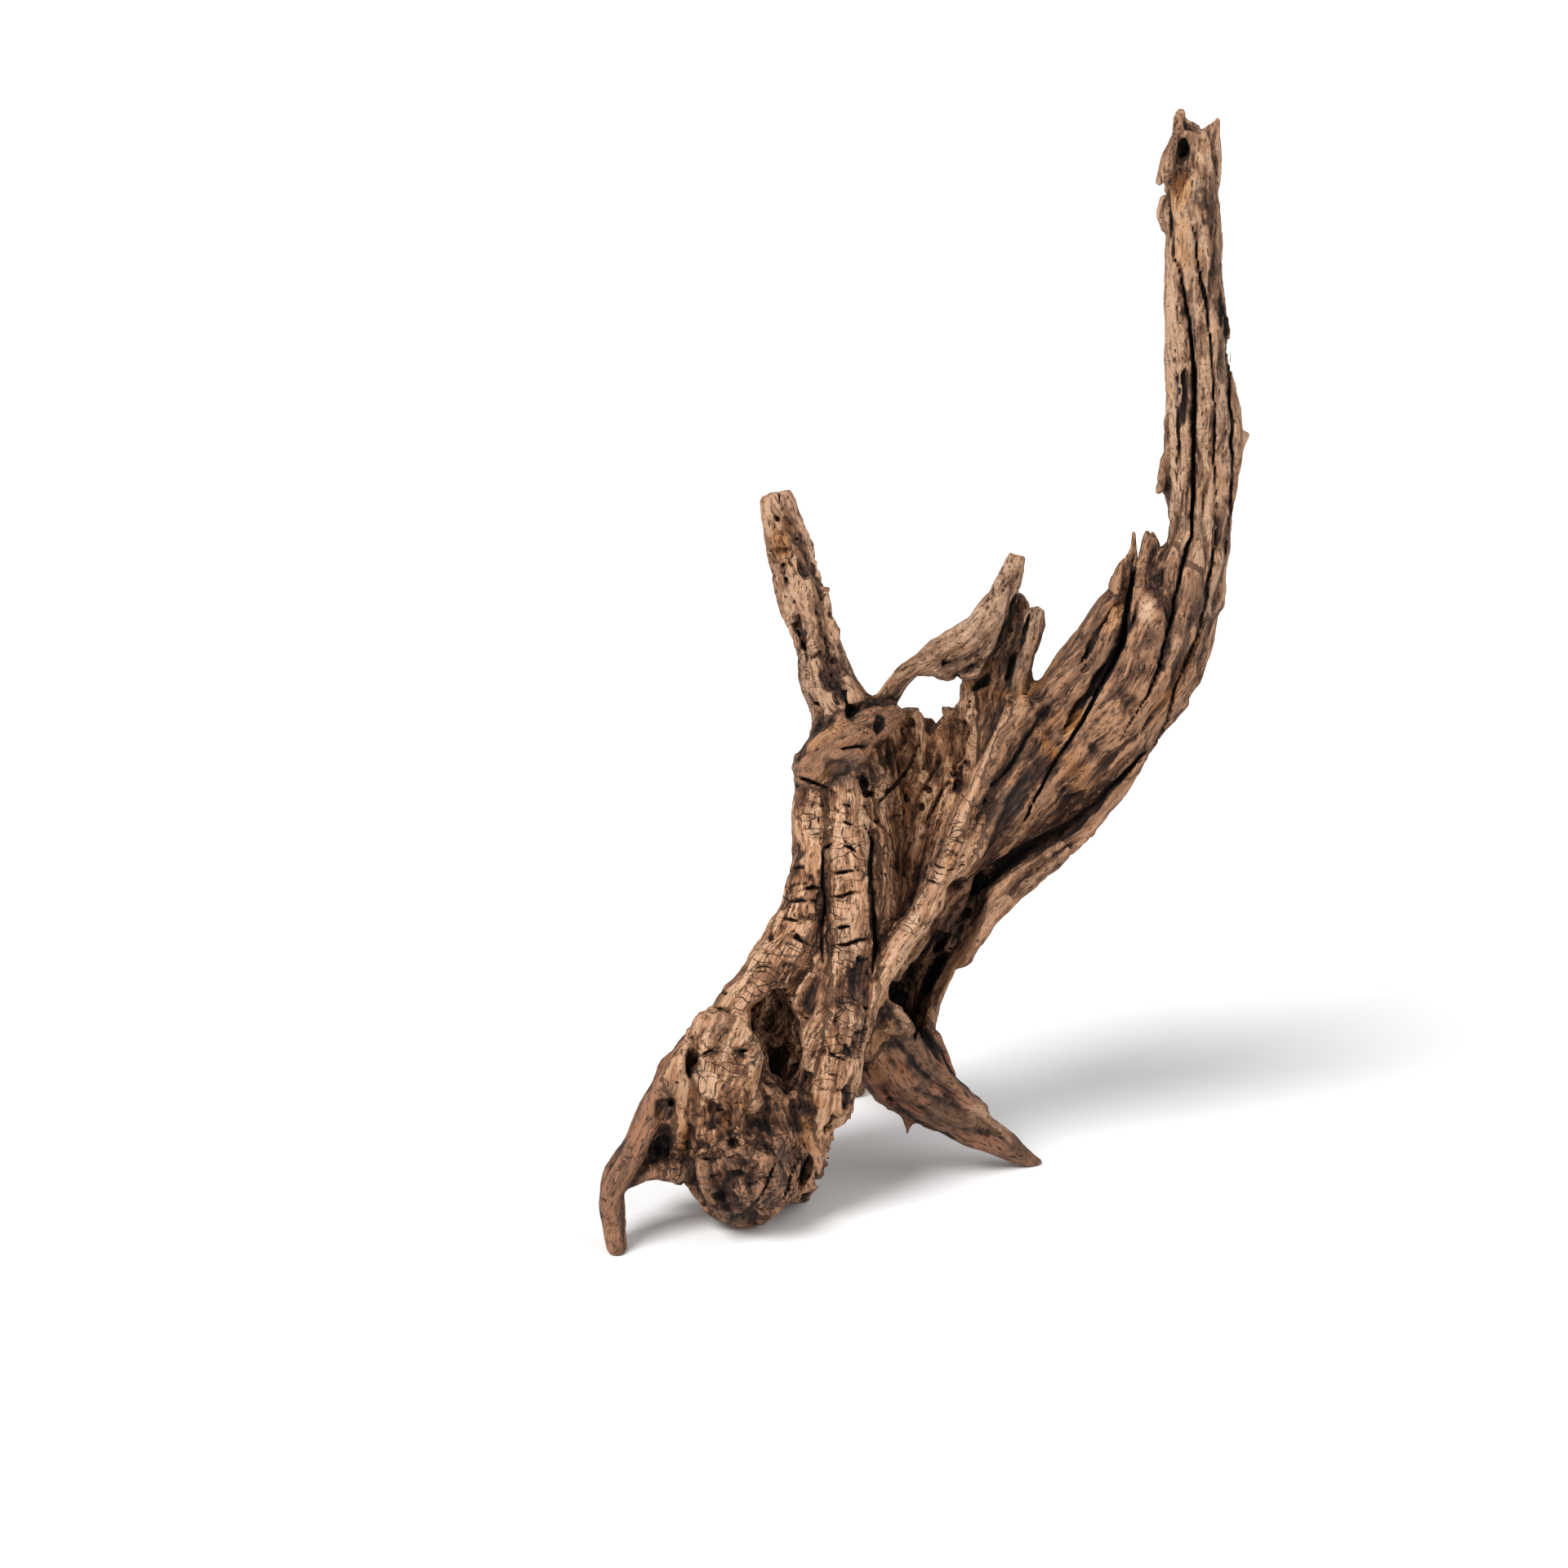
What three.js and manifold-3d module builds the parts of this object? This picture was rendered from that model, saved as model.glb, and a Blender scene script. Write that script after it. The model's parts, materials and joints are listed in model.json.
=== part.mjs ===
// Aquarium driftwood: one weathered root of dark brown wood, as it grew, with nothing added.
// A leaning trunk stands on a knob of burr wood, a curled toe, a long spike and a back root. From its shoulder
// rise a tapered stub, a thin arch with blades round a window, and one tall limb that is split by long cracks.
// Millimetres, +Z up. The front, with the window and the cracks, looks towards -Y.
// The origin is the middle of the root's bounding box, on the surface that it stands on.
import * as THREE from "three";
import { mergeVertices } from "three/addons/utils/BufferGeometryUtils.js";
import Module from "manifold-3d";

const wasm = await Module();
wasm.setup();

// Driving dimensions
const FLOOR = 0; // the feet are worn flat at this height
const GROUND = { width: 600, depth: 100 }; // the block that wears them flat
const RELIEF = 0.07; // how far the ridges of the grain stand out, as a share of a limb's radius
const WAVE = 1.0; // slow bends that run through the whole root
const WAVE_LENGTH = 46;
const LEAN = { back: 8, down: 3, from: 195, to: 440 }; // the tall limb bows back between these heights
const LUMPS = 0.08; // unevenness of a knob, as a share of its radius

// Each limb is a list of stations along its middle: x, y, z, half its width across the view and half its depth.
const TRUNK = {
  sides: 18,
  rings: 13,
  ridges: 5,
  stations: [
    [-74, -40, 4, 9, 12],
    [-73, -36, 14, 19, 23],
    [-70, -31, 31, 24, 30],
    [-61, -23, 54, 25, 32],
    [-50, -14, 74, 25, 32],
    [-39, -6, 96, 23, 29],
    [-32, 2, 117, 21, 27],
    [-27, 9, 139, 20, 23],
    [-25, 15, 161, 18, 19],
    [-26, 18, 178, 12, 13],
  ],
};

// The trunk's front carries two broad ridges with a furrow between them, and a paler rib that crosses to the window.
const TRUNK_RIDGES = [
  {
    sides: 10,
    rings: 14,
    stations: [
      [-41, 9, 176, 6, 9],
      [-43, -3, 160, 7, 11],
      [-43, -11, 138, 8, 12],
      [-49, -20, 117, 10, 13],
      [-61, -30, 99, 11, 14],
      [-73, -40, 82, 13, 15],
      [-80, -47, 62, 14.5, 17],
      [-80, -50, 42, 14, 17],
      [-77, -48, 28, 11, 14],
    ],
  },
  {
    sides: 10,
    rings: 17,
    stations: [
      [-31, 3, 175, 9, 10],
      [-29, -6, 156, 10, 12],
      [-29, -14, 134, 10, 13],
      [-29, -21, 111, 10, 13],
      [-30, -29, 91, 10, 12],
      [-33, -37, 72, 10, 13],
      [-36, -42, 51, 10, 13],
      [-42, -43, 32, 8, 13],
      [-47, -40, 17, 6, 11],
    ],
  },
  {
    sides: 8,
    rings: 15,
    stations: [
      [34, -1, 199, 4, 6],
      [26, -4, 179, 5, 8],
      [17, -6, 160, 5, 9],
      [9, -8, 140, 5, 10],
      [0, -11, 117, 5, 10],
      [-12, -17, 103, 6, 10],
      [-22, -25, 89, 6, 10],
      [-27, -31, 73, 6, 10],
    ],
  },
];

// The tall limb is thick as far as a torn ledge, and from there one narrower strip of it goes on to the top.
const LOWER_LIMB = {
  sides: 20,
  rings: 14,
  ridges: 6,
  twist: 0.3,
  stations: [
    [7, 20, 101, 10, 12],
    [18, 18, 122, 14, 16],
    [32, 15, 147, 18, 19],
    [50, 12, 173, 24, 21],
    [68, 9, 195, 26, 22],
    [85, 7, 218, 25, 21],
    [92, 6, 236, 22, 19],
    [94, 5, 250, 18, 16],
  ],
};
const STRIP = {
  sides: 16,
  rings: 27,
  ridges: 5,
  relief: 0.09,
  twist: 0.4,
  stations: [
    [95, 5, 223, 9, 14],
    [100, 4, 241, 12, 15],
    [105, 3, 259, 12, 15],
    [106, 2, 274, 12, 15],
    [105, 2, 287, 14, 15],
    [106, 2, 302, 15, 15],
    [106, 1, 313, 15, 15],
    [106, 1, 326, 14, 14],
    [104, 1, 342, 12.5, 14],
    [103, 2, 358, 11.5, 13],
    [102, 2, 374, 12, 13],
    [101, 3, 390, 11, 12],
    [100, 3, 406, 10, 12],
    [100, 3, 417, 8, 10],
    [102, 4, 427, 5, 7],
  ],
};

// Points of wood that stand where the rest has torn off, along the ledge, at the top and on the strip's sides.
const LEDGE_SPLINTERS = [
  [[74, 1, 247, 5, 7], [78, 0, 260, 3, 4], [81, 0, 270, 0.7, 1.2]],
  [[83, 3, 247, 5, 8], [85, 3, 262, 2.5, 4.5], [85, 3, 271, 1, 1.5]],
  [[89, 5, 247, 4.5, 7], [89, 6, 259, 2.2, 4], [88, 6, 268, 1, 1.5]],
];
const TOP_SPLINTERS = [
  [[97, 5, 408, 3.6, 6], [96, 4, 423, 3.1, 5.5], [95, 3, 433, 2.5, 4.5]],
  [[108, 6, 405, 3.2, 5], [110, 7, 419, 2.5, 4], [110, 7, 431, 1.2, 2.5]],
  [[104, 2, 417, 2.8, 5], [105, 2, 430, 0.9, 2]],
  [[96, -1, 428, 2.8, 4], [90, -4, 417, 2.5, 3.5], [86, -5, 409, 1.3, 2.5]],
];
const STRIP_SPLINTERS = [
  [[93, 4, 404, 1.9, 6], [91, 4, 396, 2.8, 7], [93, 4, 387, 1.6, 5]],
  [[115, 2, 304, 6, 8], [121, 2, 308.5, 3.1, 4], [125, 2, 310, 0.9, 1.5]],
  [[95, -1, 308, 2.6, 6], [92, -3, 295, 2.5, 4], [90, -3, 287, 1.3, 2.5]],
];

const STUB = {
  sides: 14,
  rings: 13,
  ridges: 4,
  twist: -0.6,
  stations: [
    [-26, 12, 171, 11, 13],
    [-31, 16, 189, 12, 13],
    [-38, 18, 203, 11.5, 13],
    [-42, 20, 219, 9.5, 12],
    [-47, 23, 241, 8, 11],
    [-51, 25, 254, 7, 9.5],
    [-56, 27, 266, 6.4, 8.5],
    [-59, 29, 277, 5, 7.5],
  ],
};
const SHOULDER = {
  sides: 12,
  rings: 8,
  stations: [
    [-45, 4, 169, 6, 10],
    [-39, 3, 177, 10, 14],
    [-30, 5, 182, 11, 15],
    [-21, 11, 187, 9, 12],
    [-14, 18, 191, 5, 9],
  ],
};

// The sheet of wood between the trunk and the tall limb, set back from both. Its top edge is the window's sill.
const SHEET = {
  sides: 14,
  rings: 9,
  ridges: 7,
  relief: 0.05,
  stations: [
    [-18, 8, 83, 9, 12],
    [-9, 18, 109, 18, 11],
    [-1, 24, 138, 24, 10],
    [5, 29, 162, 27, 9],
    [5, 31, 178, 24, 7],
    [4, 31, 188, 17, 5],
  ],
};

// The window's frame: a thin arch that widens into a blade with a forked tip, and two more blades behind it.
const ARCH = {
  sides: 10,
  rings: 19,
  ridges: 3,
  relief: 0.05,
  stations: [
    [-22, 20, 187, 5, 9],
    [-15, 23, 196, 3.6, 7],
    [-9, 25, 203, 3.6, 6],
    [-2, 25, 208, 4.2, 5.5],
    [6, 24, 212, 8, 5.5],
    [15, 22, 215, 11, 6],
    [22, 20, 222, 10.2, 6],
    [27, 18, 231, 8, 5.5],
    [31, 17, 242, 5.4, 5],
    [33, 16, 249, 2.9, 4],
    [33, 15, 256.5, 1, 2],
  ],
};
const BLADES = [
  {
    sides: 12,
    rings: 12,
    ridges: 3,
    stations: [
      [24, 30, 168, 11, 9],
      [27, 29, 187, 8.4, 8],
      [33, 27, 203, 5.8, 6],
      [36, 25, 218, 4.5, 5],
      [39, 24, 228, 3.2, 4],
      [40, 23, 238, 1.3, 2.5],
    ],
  },
  {
    sides: 10,
    rings: 14,
    ridges: 3,
    stations: [
      [35, 16, 178, 5, 8],
      [36, 18, 195, 3, 6],
      [37, 18, 206, 3, 5],
      [40, 17, 217, 3.8, 5],
      [43, 16, 226, 3.8, 4.5],
      [44, 16, 235, 1.6, 2.5],
    ],
  },
];
const ARCH_FORK = [[33, 19, 236, 4.5, 5], [36, 18, 247, 2.6, 4], [37, 18, 255, 1.6, 3]];

// The knife edge that leaves the tall limb, sweeps round the cavity and ends in the spike, and the wall behind it.
const FLANGE = {
  sides: 8,
  rings: 23,
  ridges: 3,
  stations: [
    [100, 6, 199, 3, 7],
    [87, 3, 183, 4, 10],
    [78, 0, 168, 4, 11],
    [67, -2, 154, 4, 12],
    [54, -3, 142, 4.2, 13],
    [42, -2, 133, 4.2, 14],
    [31, 0, 122, 4.2, 14],
    [21, 3, 109, 4, 15],
    [13, 6, 94, 4, 15],
    [6, 8, 79, 4, 15],
    [3, 8, 65, 4, 15],
    [3, 8, 53, 4.6, 14],
    [8, 8, 39, 6, 13],
    [17, 9, 28, 6.5, 10],
  ],
};
const CAVITY_WALL = {
  sides: 12,
  rings: 8,
  ridges: 6,
  stations: [
    [7, 24, 103, 8, 8],
    [-1, 25, 81, 11, 8],
    [-6, 22, 61, 12.5, 9],
    [-6, 17, 46, 14, 11],
    [-3, 12, 34, 12.5, 12],
  ],
};
const SPIKE = {
  sides: 12,
  rings: 12,
  ridges: 4,
  stations: [
    [-23, -6, 69, 12, 17],
    [-11, -2, 49, 15, 19],
    [3, 2, 34, 12.5, 16],
    [18, 6, 22, 9, 12],
    [31, 9, 12, 6, 8],
    [41, 11, 4.5, 3.5, 5],
    [48.5, 12, 0.2, 1.5, 2.4],
  ],
};
const PEG = [[-5, 2, 31, 2.8, 3.5], [-5, 2, 18, 1.7, 2], [-6, 1, 10, 0.8, 1.2]];

// The foot at the front: knobs of burr wood, and the toe that curls down beside them.
const KNOBS = [
  { middle: [-71, -46, 26], radii: [24, 25, 27], tilt: 0 },
  { middle: [-47, -25, 24], radii: [18, 22, 22.5], tilt: 0.2 },
];
const TOE = {
  sides: 12,
  rings: 14,
  ridges: 4,
  stations: [
    [-90, -34, 77, 7, 11],
    [-100, -45, 62, 6.4, 11],
    [-106, -54, 52, 6, 10],
    [-113, -62, 40, 6.7, 11],
    [-119, -68, 29, 7, 11],
    [-121, -71, 19, 5.5, 9.5],
    [-120, -72, 8, 4.8, 8.5],
    [-119, -72, -2, 4, 7],
  ],
};
const TOE_WEBS = [
  [[-117, -68, 27, 5, 7], [-106, -62, 28, 4.5, 7], [-93, -54, 23, 6.4, 9]],
  [[-88, -32, 72, 8, 10], [-96, -43, 58, 9, 8], [-100, -50, 44, 9, 7], [-101, -54, 30, 7, 6]],
];

// Behind, out of the front's sight: the fourth foot and a broken side root.
const BACK_ROOT = {
  sides: 12,
  rings: 10,
  ridges: 4,
  relief: 0.1,
  stations: [
    [-38, 12, 104, 15, 19],
    [-40, 34, 84, 13, 15],
    [-38, 54, 61, 11, 12.5],
    [-34, 70, 38, 9.5, 10.5],
    [-29, 81, 18, 8.5, 9],
    [-26, 86, -3, 7, 7.5],
  ],
};
const BACK_STUB = {
  sides: 10,
  rings: 8,
  ridges: 3,
  relief: 0.12,
  stations: [
    [-30, 18, 132, 13, 14],
    [-24, 36, 137, 9.5, 10.5],
    [-16, 50, 144, 7, 8],
    [-9, 58, 152, 4.5, 5.5],
  ],
};

// Cuts are limbs of empty space: drying cracks, the hollows that rot has left, and the notch in the window's sill.
const CRACKS = [
  [
    [91, -9, 387, 0.7, 6],
    [96, -11, 368, 1.2, 9],
    [100, -13, 346, 1.5, 10],
    [101, -14, 318, 1.6, 11],
    [101, -13, 291, 1.9, 11],
    [99, -12, 268, 1.9, 10],
    [95, -12, 245, 1.9, 10],
    [91, -13, 224, 1.3, 9],
    [84, -13, 205, 0.7, 6],
  ],
  [
    [81, -8, 268, 2.5, 12],
    [78, -10, 251, 2.5, 12],
    [76, -11, 236, 2.5, 12],
    [66, -12, 213, 2.5, 12],
    [50, -9, 184, 1.9, 10],
    [41, -7, 166, 1.3, 9],
    [32, -4, 148, 0.7, 6],
  ],
];
const HOLLOWS = {
  cavity: [[24, 2, 131, 3.5, 16], [21, 2, 117, 3.6, 18], [12, 0, 98, 4, 18], [1, -2, 78, 5.5, 18], [-6, -6, 59, 4, 12]],
  mouth: [[-65, -40, 94, 7, 18], [-59, -44, 83, 10, 24], [-54, -50, 68, 8.3, 22], [-49, -54, 59, 4, 10]],
  besideTheBrow: [[-92, -50, 76, 1.6, 8], [-91, -56, 71, 2.6, 12], [-91, -60, 65, 1.3, 8]],
  behindTheToe: [[-98, -56, 57, 2.2, 8], [-101, -60, 47, 4, 14], [-102, -64, 38, 5, 14], [-104, -66, 34, 3.5, 8]],
  besideTheKnob: [[-41, -36, 36, 1.6, 10], [-43, -34, 19, 3.9, 16], [-45, -32, 3, 3.9, 16]],
  sill: [[2, 31, 194, 5.2, 20], [2, 31, 187, 3.6, 20], [2, 31, 181, 1.3, 20]],
  brokenTop: [[96, -6, 430, 2.2, 6], [97, -8, 421, 2.8, 7], [98, -9, 415, 1, 4]],
};

// Slow waves bend everything a little, so that no limb keeps an exact curve, and the tall limb bows back.
function bent(geometry) {
  const position = geometry.attributes.position;
  const wave = (a, b, start) => WAVE * Math.sin(((a + 0.6 * b) / WAVE_LENGTH) * Math.PI + start);
  for (let i = 0; i < position.count; i++) {
    const [x, y, z] = [position.getX(i), position.getY(i), position.getZ(i)];
    const height = THREE.MathUtils.clamp((z - LEAN.from) / (LEAN.to - LEAN.from), 0, 1);
    const bow = Math.sin(Math.PI * height) ** 2;
    const back = wave(x, z, 1.7) + LEAN.back * bow;
    const up = wave(y, x, 2.9) - LEAN.down * bow;
    position.setXYZ(i, x + wave(z, y, 0.4), y + back, z + up);
  }
  return geometry;
}

// A closed three.js geometry becomes a solid that can be joined and cut.
function solid(geometry) {
  geometry.deleteAttribute("normal");
  geometry.deleteAttribute("uv");
  const merged = mergeVertices(geometry, 1e-4);
  return new wasm.Manifold(
    new wasm.Mesh({
      numProp: 3,
      vertProperties: merged.attributes.position.array,
      triVerts: new Uint32Array(merged.index.array),
    }),
  );
}

// How far the ridges of the grain lift or sink a limb's surface, as a share of its radius.
function swelling(angle, along, { ridges = 4, relief = RELIEF, twist = 0.3, phase = 0 }) {
  const turned = angle + twist * Math.PI * along;
  const broad = Math.cos(ridges * turned + phase);
  const fine = Math.cos((2 * ridges + 1) * turned + 2.3 * phase + 5 * along);
  const knots = Math.sin(19 * along + 3 * phase + angle);
  return 1 + relief * (0.6 * broad + 0.4 * fine + 0.35 * knots);
}

// A limb is a cylinder whose rings are laid along a smooth curve, each ring with its own width and depth.
function limb({ stations, sides, rings, ...look }) {
  const middle = new THREE.CatmullRomCurve3(stations.map(([x, y, z]) => new THREE.Vector3(x, y, z)));
  const size = new THREE.CatmullRomCurve3(stations.map(([, , , across, deep]) => new THREE.Vector3(across, deep, 0)));
  const geometry = new THREE.CylinderGeometry(1, 1, 1, sides, rings);
  const position = geometry.attributes.position;
  const depthwise = new THREE.Vector3(0, 1, 0);
  for (let i = 0; i < position.count; i++) {
    const along = THREE.MathUtils.clamp(position.getY(i) + 0.5, 0, 1);
    const tangent = middle.getTangent(along);
    const across = tangent.clone().cross(depthwise).normalize();
    const deep = across.clone().cross(tangent);
    const [a, d] = [position.getX(i), position.getZ(i)];
    const radii = size.getPoint(along).multiplyScalar(swelling(Math.atan2(d, a), along, look));
    const place = middle.getPoint(along).addScaledVector(across, a * radii.x).addScaledVector(deep, d * radii.y);
    position.setXYZ(i, place.x, place.y, place.z);
  }
  return solid(bent(geometry));
}

const splinter = (stations, index) => limb({ stations, sides: 6, rings: 4, ridges: 3, phase: index });
const crack = (stations) => limb({ stations, sides: 6, rings: 2 * stations.length, relief: 0 });
const hollow = (stations) => limb({ stations, sides: 8, rings: 2 * stations.length, relief: 0.04 });

// A knob is a sphere pulled to three radii, with the lumps of burr wood on it.
function knob({ middle: [x, y, z], radii: [across, deep, high], tilt }) {
  const geometry = new THREE.SphereGeometry(1, 16, 10);
  const position = geometry.attributes.position;
  const point = new THREE.Vector3();
  for (let i = 0; i < position.count; i++) {
    point.fromBufferAttribute(position, i);
    const lump = Math.sin(4.1 * point.x + x) * Math.sin(3.7 * point.z + z) * Math.sin(3.3 * point.y + 1);
    point.multiplyScalar(1 + LUMPS * lump);
    position.setXYZ(i, across * point.x, deep * point.y, high * point.z);
  }
  return solid(bent(geometry.rotateY(tilt).translate(x, y, z)));
}

const grown = [
  limb(TRUNK),
  ...TRUNK_RIDGES.map((ridge, index) => limb({ ...ridge, phase: index })),
  limb(LOWER_LIMB),
  limb(STRIP),
  ...[...LEDGE_SPLINTERS, ...TOP_SPLINTERS, ...STRIP_SPLINTERS].map(splinter),
  limb(STUB),
  limb(SHOULDER),
  limb(SHEET),
  limb(ARCH),
  splinter(ARCH_FORK, 2),
  ...BLADES.map((blade, index) => limb({ ...blade, phase: index })),
  limb(FLANGE),
  limb(CAVITY_WALL),
  limb(SPIKE),
  splinter(PEG, 1),
  ...KNOBS.map(knob),
  limb(TOE),
  ...TOE_WEBS.map(splinter),
  limb(BACK_ROOT),
  limb(BACK_STUB),
].reduce((whole, piece) => whole.add(piece));

const spaces = [...CRACKS.map(crack), ...Object.values(HOLLOWS).map(hollow)];
const hollowed = spaces.reduce((whole, space) => whole.subtract(space), grown);

// The wood under the floor line is worn away, which leaves a small flat under each foot.
const ground = new THREE.BoxGeometry(GROUND.width, GROUND.width, GROUND.depth);
const worn = hollowed.subtract(solid(ground.translate(0, 0, FLOOR - GROUND.depth / 2))).getMesh();

const geometry = new THREE.BufferGeometry();
geometry.setAttribute("position", new THREE.BufferAttribute(worn.vertProperties, 3));
geometry.setIndex(new THREE.BufferAttribute(worn.triVerts, 1));
geometry.computeBoundingBox();
const { min, max } = geometry.boundingBox;
geometry.translate(-(min.x + max.x) / 2, -(min.y + max.y) / 2, -min.z);
geometry.computeVertexNormals();

const wood = new THREE.MeshStandardMaterial({ color: 0x6b4630, roughness: 0.82, metalness: 0 });
const driftwood = new THREE.Mesh(geometry, wood);
driftwood.name = "driftwood";

const root = new THREE.Group();
root.add(driftwood);

export default root;
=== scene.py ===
# Aquarium driftwood: one weathered root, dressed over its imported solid.
import json
import math
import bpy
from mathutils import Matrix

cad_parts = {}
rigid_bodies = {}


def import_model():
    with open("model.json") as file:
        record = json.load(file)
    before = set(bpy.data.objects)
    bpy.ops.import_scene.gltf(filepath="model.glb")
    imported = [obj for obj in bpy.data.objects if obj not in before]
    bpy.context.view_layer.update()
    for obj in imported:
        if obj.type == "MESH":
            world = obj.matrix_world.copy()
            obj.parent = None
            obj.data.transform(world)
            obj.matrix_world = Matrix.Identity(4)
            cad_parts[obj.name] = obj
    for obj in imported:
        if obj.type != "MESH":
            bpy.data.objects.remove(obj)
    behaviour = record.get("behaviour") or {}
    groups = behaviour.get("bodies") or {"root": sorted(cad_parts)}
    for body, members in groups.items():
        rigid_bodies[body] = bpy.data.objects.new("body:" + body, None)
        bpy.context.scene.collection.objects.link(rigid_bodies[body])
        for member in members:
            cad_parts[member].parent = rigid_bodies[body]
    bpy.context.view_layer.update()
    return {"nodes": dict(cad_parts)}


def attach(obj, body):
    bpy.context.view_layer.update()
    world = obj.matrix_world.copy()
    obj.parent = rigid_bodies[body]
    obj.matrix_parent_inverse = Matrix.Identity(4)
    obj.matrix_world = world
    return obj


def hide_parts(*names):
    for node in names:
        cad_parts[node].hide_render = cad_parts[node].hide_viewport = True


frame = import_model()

from concurrent.futures import ThreadPoolExecutor

import bpy
import numpy as np
import openvdb
from mathutils import Vector

bpy.ops.object.select_all(action="DESELECT")

# The camera looks down at the wood from the front, as in the photograph: 20 degrees down, from 2.3 m, with a long
# lens. VIEW_MIDDLE is the point of the wood that lies in the middle of the frame.
VIEW_MIDDLE = Vector((-0.0542, -0.0064, 0.167))
VIEW_DOWN = math.radians(20)
VIEW_DISTANCE = 2.304
LENS = 135
SENSOR = 36
FRAME_PIXELS = 1920
ahead = Vector((0, math.cos(VIEW_DOWN), -math.sin(VIEW_DOWN)))
bpy.ops.object.camera_add(location=VIEW_MIDDLE - VIEW_DISTANCE * ahead, rotation=(math.pi / 2 - VIEW_DOWN, 0, 0))
camera = bpy.context.object
camera.data.lens = LENS
camera.data.sensor_width = SENSOR
bpy.context.scene.camera = camera

# The form of the wood. It is carved in a field that holds, for each small cell of space, how far away the wood's
# surface is, and less than nothing inside the wood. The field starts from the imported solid. Lengths are millimetres.
CELL = 0.85                 # edge of a cell
REACH = 9                   # cells on each side of the surface that the field knows
solid = frame["nodes"]["driftwood"]
corners = np.empty(len(solid.data.vertices) * 3, np.float32)
solid.data.vertices.foreach_get("co", corners)
corners = corners.reshape(-1, 3) * 1000
solid.data.calc_loop_triangles()
triangles = np.empty(len(solid.data.loop_triangles) * 3, np.int32)
solid.data.loop_triangles.foreach_get("vertices", triangles)
grid = openvdb.FloatGrid.createLevelSetFromPolygons(
    corners.astype(np.float64),
    triangles=triangles.reshape(-1, 3).astype(np.uint32),
    transform=openvdb.createLinearTransform(CELL),
    halfWidth=REACH,
)
low, high = grid.evalActiveVoxelBoundingBox()
low = np.array(low)
field = np.zeros(np.array(high) - low + 1, np.float32)
grid.copyToArray(field, ijk=tuple(int(v) for v in low))


HANDS = 8                   # big blocks of numbers are worked on in this many parts at once
workers = ThreadPoolExecutor(4)


def softened(cells, reach, times):
    """The field averaged over a few cells each way, several times over."""
    for _ in range(times):
        for axis in range(3):
            made = np.empty_like(cells)

            def average(part, axis=axis, cells=cells, made=made):
                total = cells[part].copy()
                for step in range(1, reach + 1):
                    total += np.roll(cells[part], step, axis)
                    total += np.roll(cells[part], -step, axis)
                made[part] = total / (2 * reach + 1)

            other = (axis + 1) % 3
            edges = np.linspace(0, cells.shape[other], HANDS + 1).astype(int)
            parts = [tuple(slice(a, b) if way == other else slice(None) for way in range(3))
                     for a, b in zip(edges, edges[1:])]
            list(workers.map(average, parts))
            cells = made
    return cells


def shared(work, spots):
    """The same work on many spots, done in parts at once."""
    done = list(workers.map(work, np.array_split(spots, HANDS)))
    if isinstance(done[0], tuple):
        return tuple(np.concatenate(part) for part in zip(*done))
    return np.concatenate(done)


def read(cells, places, edge=CELL):
    """The values that a block of cells holds at any places, blended between the cells' middles."""
    last = np.array(cells.shape[:3]) - 1.001
    spot = np.clip(places / edge - low / (edge / CELL), 0, last).astype(np.float32)
    base = spot.astype(np.int32)
    part = spot - base
    flat = cells.reshape(-1, *cells.shape[3:])
    step = (cells.shape[1] * cells.shape[2], cells.shape[2], 1)
    first = base[:, 0] * step[0] + base[:, 1] * step[1] + base[:, 2]
    value = 0
    for corner in range(8):
        bits = [(corner >> axis) & 1 for axis in range(3)]
        weight = np.ones(len(places), np.float32)
        for axis, bit in enumerate(bits):
            weight = weight * (part[:, axis] if bit else 1 - part[:, axis])
        held = flat[first + bits[0] * step[0] + bits[1] * step[1] + bits[2]]
        value = value + (weight[:, None] * held if held.ndim > 1 else weight * held)
    return value


# Uneven growth: a lattice of random numbers, read smoothly between its points, gives bumps of any size and stretch.
LATTICE = 64
lattice = np.random.default_rng(7).uniform(-1, 1, LATTICE**3).astype(np.float32)


def bumps(spots, shift=0.0):
    """Smooth bumps from -1 to 1 with one bump to a unit."""
    spots = np.asarray(spots, np.float32) + np.float32(shift * 17.31)
    base = np.floor(spots)
    part = spots - base
    base = base.astype(np.int32) & (LATTICE - 1)
    after = (base + 1) & (LATTICE - 1)
    fade = part * part * (3 - 2 * part)
    x = (base[:, 0] * LATTICE * LATTICE, after[:, 0] * LATTICE * LATTICE)
    y = (base[:, 1] * LATTICE, after[:, 1] * LATTICE)
    z = (base[:, 2], after[:, 2])

    def across(i, j):
        near = lattice[x[i] + y[j] + z[0]]
        return near + fade[:, 2] * (lattice[x[i] + y[j] + z[1]] - near)

    front = across(0, 0)
    front += fade[:, 1] * (across(0, 1) - front)
    back = across(1, 0)
    back += fade[:, 1] * (across(1, 1) - back)
    return front + fade[:, 0] * (back - front)


def smoothly(value, start, end):
    """0 before start, 1 after end, and a smooth step between."""
    part = np.clip((value - start) / (end - start), 0, 1)
    return part * part * (3 - 2 * part)


def places_of(index):
    """Where cells are, in millimetres, from their indices in the field."""
    return ((index + low) * CELL).astype(np.float32)


# Creases between limbs are filled a little, as growth fills them, and the solid's flat facets are worn away.
field = np.minimum(field, softened(field, 2, 3))
field = 0.25 * field + 0.75 * softened(field, 1, 2)

# The whole root is bent a little out of its drawn curves, by slow waves and by quicker ones.
SLOW_BEND = {"size": 24, "by": 2.0}
QUICK_BEND = {"size": 9, "by": 0.8}
band = np.argwhere(np.abs(field) < REACH * CELL - 0.3).astype(np.int32)
places = places_of(band)


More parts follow.
